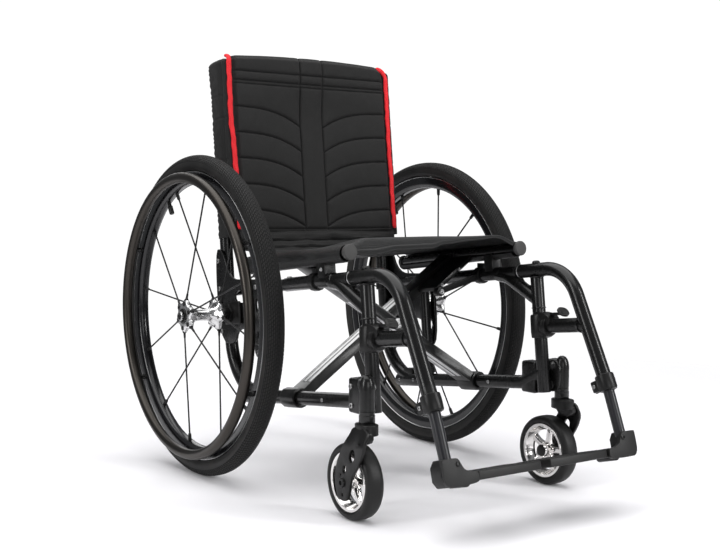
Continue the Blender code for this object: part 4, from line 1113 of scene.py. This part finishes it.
def seat_back():
    """The padded panel with its sewn channels, as one closed crowned form."""
    bm = bmesh.new()
    aside = bm.verts.layers.float.new("aside")
    curve = bm.verts.layers.float.new("curve")
    high = bm.verts.layers.float.new("high")
    for back in (False, True):
        before = set(bm.verts)
        bmesh.ops.create_grid(bm, x_segments=212, y_segments=196, size=0.5)
        for vert in [v for v in bm.verts if v not in before]:
            x = vert.co.x * 2 * PAD_HALF_X
            v = PAD_LOW_V + (vert.co.y + 0.5) * (top_of_pad(x) - PAD_LOW_V)
            u = pad_front(x, v)
            share = min(1.0, (PAD_HALF_X - abs(x)) / (PAD_HALF_X - PAD_SEAM_X))
            vert[aside], vert[curve], vert[high] = abs(x), v + SEAM_DROP * share ** 3, v
            if back:
                u -= 0.0085 + 0.005 * (1 - (x / PAD_HALF_X) ** 2)
                vert[aside], vert[curve], vert[high] = 0.0, 0.0, 0.3
            vert.co = at(x, u, v)
    rim_edges = [e for e in bm.edges if e.is_boundary]
    bmesh.ops.bridge_loops(bm, edges=rim_edges)
    bmesh.ops.recalc_face_normals(bm, faces=bm.faces)
    made = piece("back_pad", bm, BACK_CLOTH, "left_frame", ["back_upholstery"], 180)
    at(FRAME_X, 0, 0.3)
    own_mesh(made)


def back_flap():
    """The gathered flap below the pad, which tucks over the rear of the seat."""
    bm = bmesh.new()
    columns, rows = 170, 42
    bmesh.ops.create_grid(bm, x_segments=columns, y_segments=rows, size=0.5)
    drop = mm(8, 165, 15, 160, 19, 152, 20, 144, 15, 139.5, 22.5, 135, 29, 128.5, 26.5, 124,
              40, 120, 60, 115, 78, 112)
    length = sum(math.hypot(b[0] - a[0], b[1] - a[1]) for a, b in zip(drop, drop[1:]))
    for vert in bm.verts:
        x, down = vert.co.x * 2 * 0.186, (0.5 - vert.co.y) * (len(drop) - 1)
        index = min(int(down), len(drop) - 2)
        share = smooth_step(0, 1, down - index)
        u = drop[index][0] * (1 - share) + drop[index + 1][0] * share
        v = drop[index][1] * (1 - share) + drop[index + 1][1] * share
        loose = smooth_step(0.4, 3.0, down)
        pull = math.exp(-((abs(x) - 0.03) / 0.012) ** 2)
        wander = noise.noise(Vector((x * 13, down * 0.5, 4.1)))
        wave = noise.noise(Vector((x * 34, down * 0.8, 8.3)))
        held = 1 - smooth_step(7.5, 10.0, down) * 0.8
        vert.co = at(x, u - 0.01 * (1 - (x / 0.19) ** 2) * (1 - loose)
                     + loose * held * (0.0042 * wander + 0.0022 * wave - 0.004 * pull),
                     v + loose * held * (0.004 * wander + 0.0014 * wave + 0.0018 * pull))
    bmesh.ops.solidify(bm, geom=bm.faces[:], thickness=0.002)
    bmesh.ops.recalc_face_normals(bm, faces=bm.faces)
    made = piece("back_lower_flap", bm, SLEEVE_CLOTH, "left_frame", (), 180)
    at(FRAME_X, 0, 0.3)
    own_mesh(made)


def back_sleeve(side, s):
    """The pocket that slides over the back post, puckered by its seams."""
    body, sides, levels = f"{side}_frame", 56, 150
    bottom, top = 0.15, 0.5015
    bm = bmesh.new()
    bmesh.ops.create_circle(bm, cap_ends=False, radius=1, segments=sides)
    edges, rings = bm.edges[:], [bm.verts[:]]
    for _ in range(levels):
        grown = bmesh.ops.extrude_edge_only(bm, edges=edges)["geom"]
        rings.append([g for g in grown if isinstance(g, bmesh.types.BMVert)])
        fresh = set(rings[-1])
        edges = [g for g in grown if isinstance(g, bmesh.types.BMEdge) and fresh.issuperset(g.verts)]
    for index, ring in enumerate(rings):
        v = bottom + (top - bottom) * index / levels
        shut = math.sqrt(max(0.0, 1 - max(0.0, (v - (top - 0.01)) / 0.0101) ** 2))
        seam = max(math.exp(-((v - mark) / 0.0018) ** 2) for mark in (0.428, 0.384, 0.3, 0.222))
        for vert in ring:
            angle = math.atan2(vert.co.y, vert.co.x)
            cx, cu = math.cos(angle), math.sin(angle)
            px = math.copysign(abs(cx) ** 0.62, cx)
            pu = math.copysign(abs(cu) ** 0.62, cu)
            rear = smooth_step(-0.1, -0.9, pu)
            scallop = 0.0014 * math.sin(v * 600 + s + 2 * math.sin(v * 90))
            scallop += 0.0018 * noise.noise(Vector((px * 2, v * 42, s)))
            crease = 0.0013 * noise.noise(Vector((px * 3 + 7, v * 60 + pu * 6, 3 * s)))
            groove = 0.005 * math.exp(-((pu - 0.62) / 0.14) ** 2) * (1 if px > 0 else 0)
            half_x = (0.015 - seam * 0.0014 + crease - groove) * (0.35 + 0.65 * shut)
            half_u = 0.0325 * (0.55 + 0.45 * shut)
            u = -0.017 + half_u * pu - rear * (scallop - 0.0008)
            u -= 0.004 * rear * smooth_step(0.44, 0.49, v)
            vert.co = at(s * (0.189 + half_x * px), u, v)
    bmesh.ops.holes_fill(bm, edges=bm.edges, sides=0)
    bmesh.ops.recalc_face_normals(bm, faces=bm.faces)
    piece(f"{side}_back_sleeve", bm, SLEEVE_CLOTH, body, (), 180)

    sway = {"left": (0.1895, 0.1875, 0.188, 0.1865, 0.187, 0.1875, 0.188),
            "right": (0.185, 0.186, 0.1865, 0.188, 0.1915, 0.1905, 0.1895)}[side]
    marks = (0.163, 0.215, 0.27, 0.325, 0.385, 0.435, 0.482 if s > 0 else 0.498)
    path = []
    for step in range(61):
        v = marks[0] + (marks[-1] - marks[0]) * step / 60
        index = max(i for i in range(len(marks) - 1) if marks[i] <= v + 1e-9)
        share = smooth_step(marks[index], marks[index + 1], v)
        x = sway[index] * (1 - share) + sway[index + 1] * share
        path.append(at(s * (x + 0.0004 * math.sin(v * 310)),
                       0.0175 + 0.0008 * math.sin(v * 170 + s), v))
    for step in range(1, 9):
        angle = math.radians(step * 11)
        if s > 0:
            path.append(at(sway[-1] - 0.0215 * (1 - math.cos(angle)), 0.0175 - 0.004 * step / 8,
                           marks[-1] + 0.0225 * math.sin(angle)))
        else:
            path.append(at(-sway[-1] + 0.0015 * step / 8, 0.0175 - 0.015 * (1 - math.cos(angle)),
                           marks[-1] + 0.009 * math.sin(angle)))
    radii = [0.0036 + 0.0002 * math.sin(i * 0.9) for i in range(len(path))]
    radii[0], radii[-1] = 0.0026, 0.0024
    piece(f"{side}_red_piping", swept(path, radii, 20, 1.4, Vector((1, 0, 0))), PIPING, body,
          (), 180)


def seat_sling():
    """Nylon stretched over the two rails, wrapped round each, with a rolled front edge."""
    bm = bmesh.new()
    hem_shade_and_groove_layer = bm.verts.layers.float.new("channel")
    columns, rows = 156, 112
    bmesh.ops.create_grid(bm, x_segments=columns, y_segments=rows, size=0.5)
    wrap, wrap_r, roll = math.radians(240), 0.0143, 0.026
    loop, span, deep = wrap * wrap_r, 2 * RAIL_X, 0.344
    total, long = 2 * loop + span, deep + roll
    hem_line = mm(-191, 86, -145, 83, -85, 91, -14, 93, 15, 100, 80, 106, 135, 110, 191, 92)
    for vert in bm.verts:
        reach = (vert.co.x + 0.5) * total
        run = (0.5 - vert.co.y) * long
        over = max(0.0, run - deep)
        u = 0.0415 + min(run, deep)
        mirror = -1 if reach < total / 2 else 1
        from_end = min(reach, total - reach)
        fat = 0.013 + 0.0052 * smooth_step(0.37, 0.16, u)
        if from_end < loop:
            angle = math.radians(-150) + from_end / wrap_r
            radius = 0.0143 + (fat - 0.0143) * smooth_step(math.radians(-60), math.radians(60), angle)
            x, v = RAIL_X + radius * math.cos(angle), RAIL_V + radius * math.sin(angle)
            flat = 0.0
        else:
            x, v = RAIL_X - (from_end - loop), RAIL_V + fat
            flat = 1.0
        inside = max(0.0, 1 - (x / RAIL_X) ** 2) * flat
        crown = 0.012 * smooth_step(0.2, 0.375, u) * smooth_step(0.0, 0.045, RAIL_X - x) * flat
        sag = 0.0055 * inside * smooth_step(0.36, 0.16, u)
        wrinkle = 0.001 * inside * noise.noise(Vector((x * 14 * mirror, u * 30, 2.2)))
        hem = max(math.exp(-((run - mark) / 0.0012) ** 2) for mark in (0.0145, deep - 0.006))
        hem = max(hem, math.exp(-((abs(x) - 0.166) / 0.0012) ** 2) * flat)
        # painted shade: this hem mask darkens the cloth's colour along the stitched hems and grooves
        # their bump
        vert[hem_shade_and_groove_layer] = hem * 0.7
        v += crown - sag + wrinkle - hem * 0.0006
        if over > 0 and flat > 0:
            here = mirror * x
            near = max(i for i in range(len(hem_line) - 1) if hem_line[i][0] <= here + 1e-6)
            (x0, low0), (x1, low1) = hem_line[near], hem_line[near + 1]
            low = low0 + (low1 - low0) * smooth_step(x0, x1, here)
            turn = over / roll
            bulge = 0.004 * math.sin(math.pi * turn)
            u += 0.015 * math.sin(math.pi * min(1, turn * 1.15) * 0.5) - 0.004 * max(0.0, turn - 0.6)
            v += (low - v) * smooth_step(0.02, 1.0, turn) + bulge * 0.5
        elif over > 0:
            u += 0.006 * math.sin(0.5 * math.pi * over / roll)
        vert.co = at(mirror * x, u, v)
    bmesh.ops.solidify(bm, geom=bm.faces[:], thickness=0.002)
    bmesh.ops.recalc_face_normals(bm, faces=bm.faces)
    made = piece("seat_cloth", bm, SEAT_CLOTH, None, ["seat_sling"], 60)
    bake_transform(made)


studio()
for side, s in SIDES:
    wheel_body = f"{side}_wheel"
    tyre(side, s, wheel_body)
    rim(side, s, wheel_body)
    spokes(side, s, wheel_body)
    hub(side, s, wheel_body)
    handrim(side, s, wheel_body)
    wheel_axle(side, s)
    caster(side, s)
    caster_housing(side, s)
    side_frame(side, s)
    hanger(side, s)
    footrest(side, s)
    back_sleeve(side, s)
brace()
seat_sling()
seat_back()
back_flap()
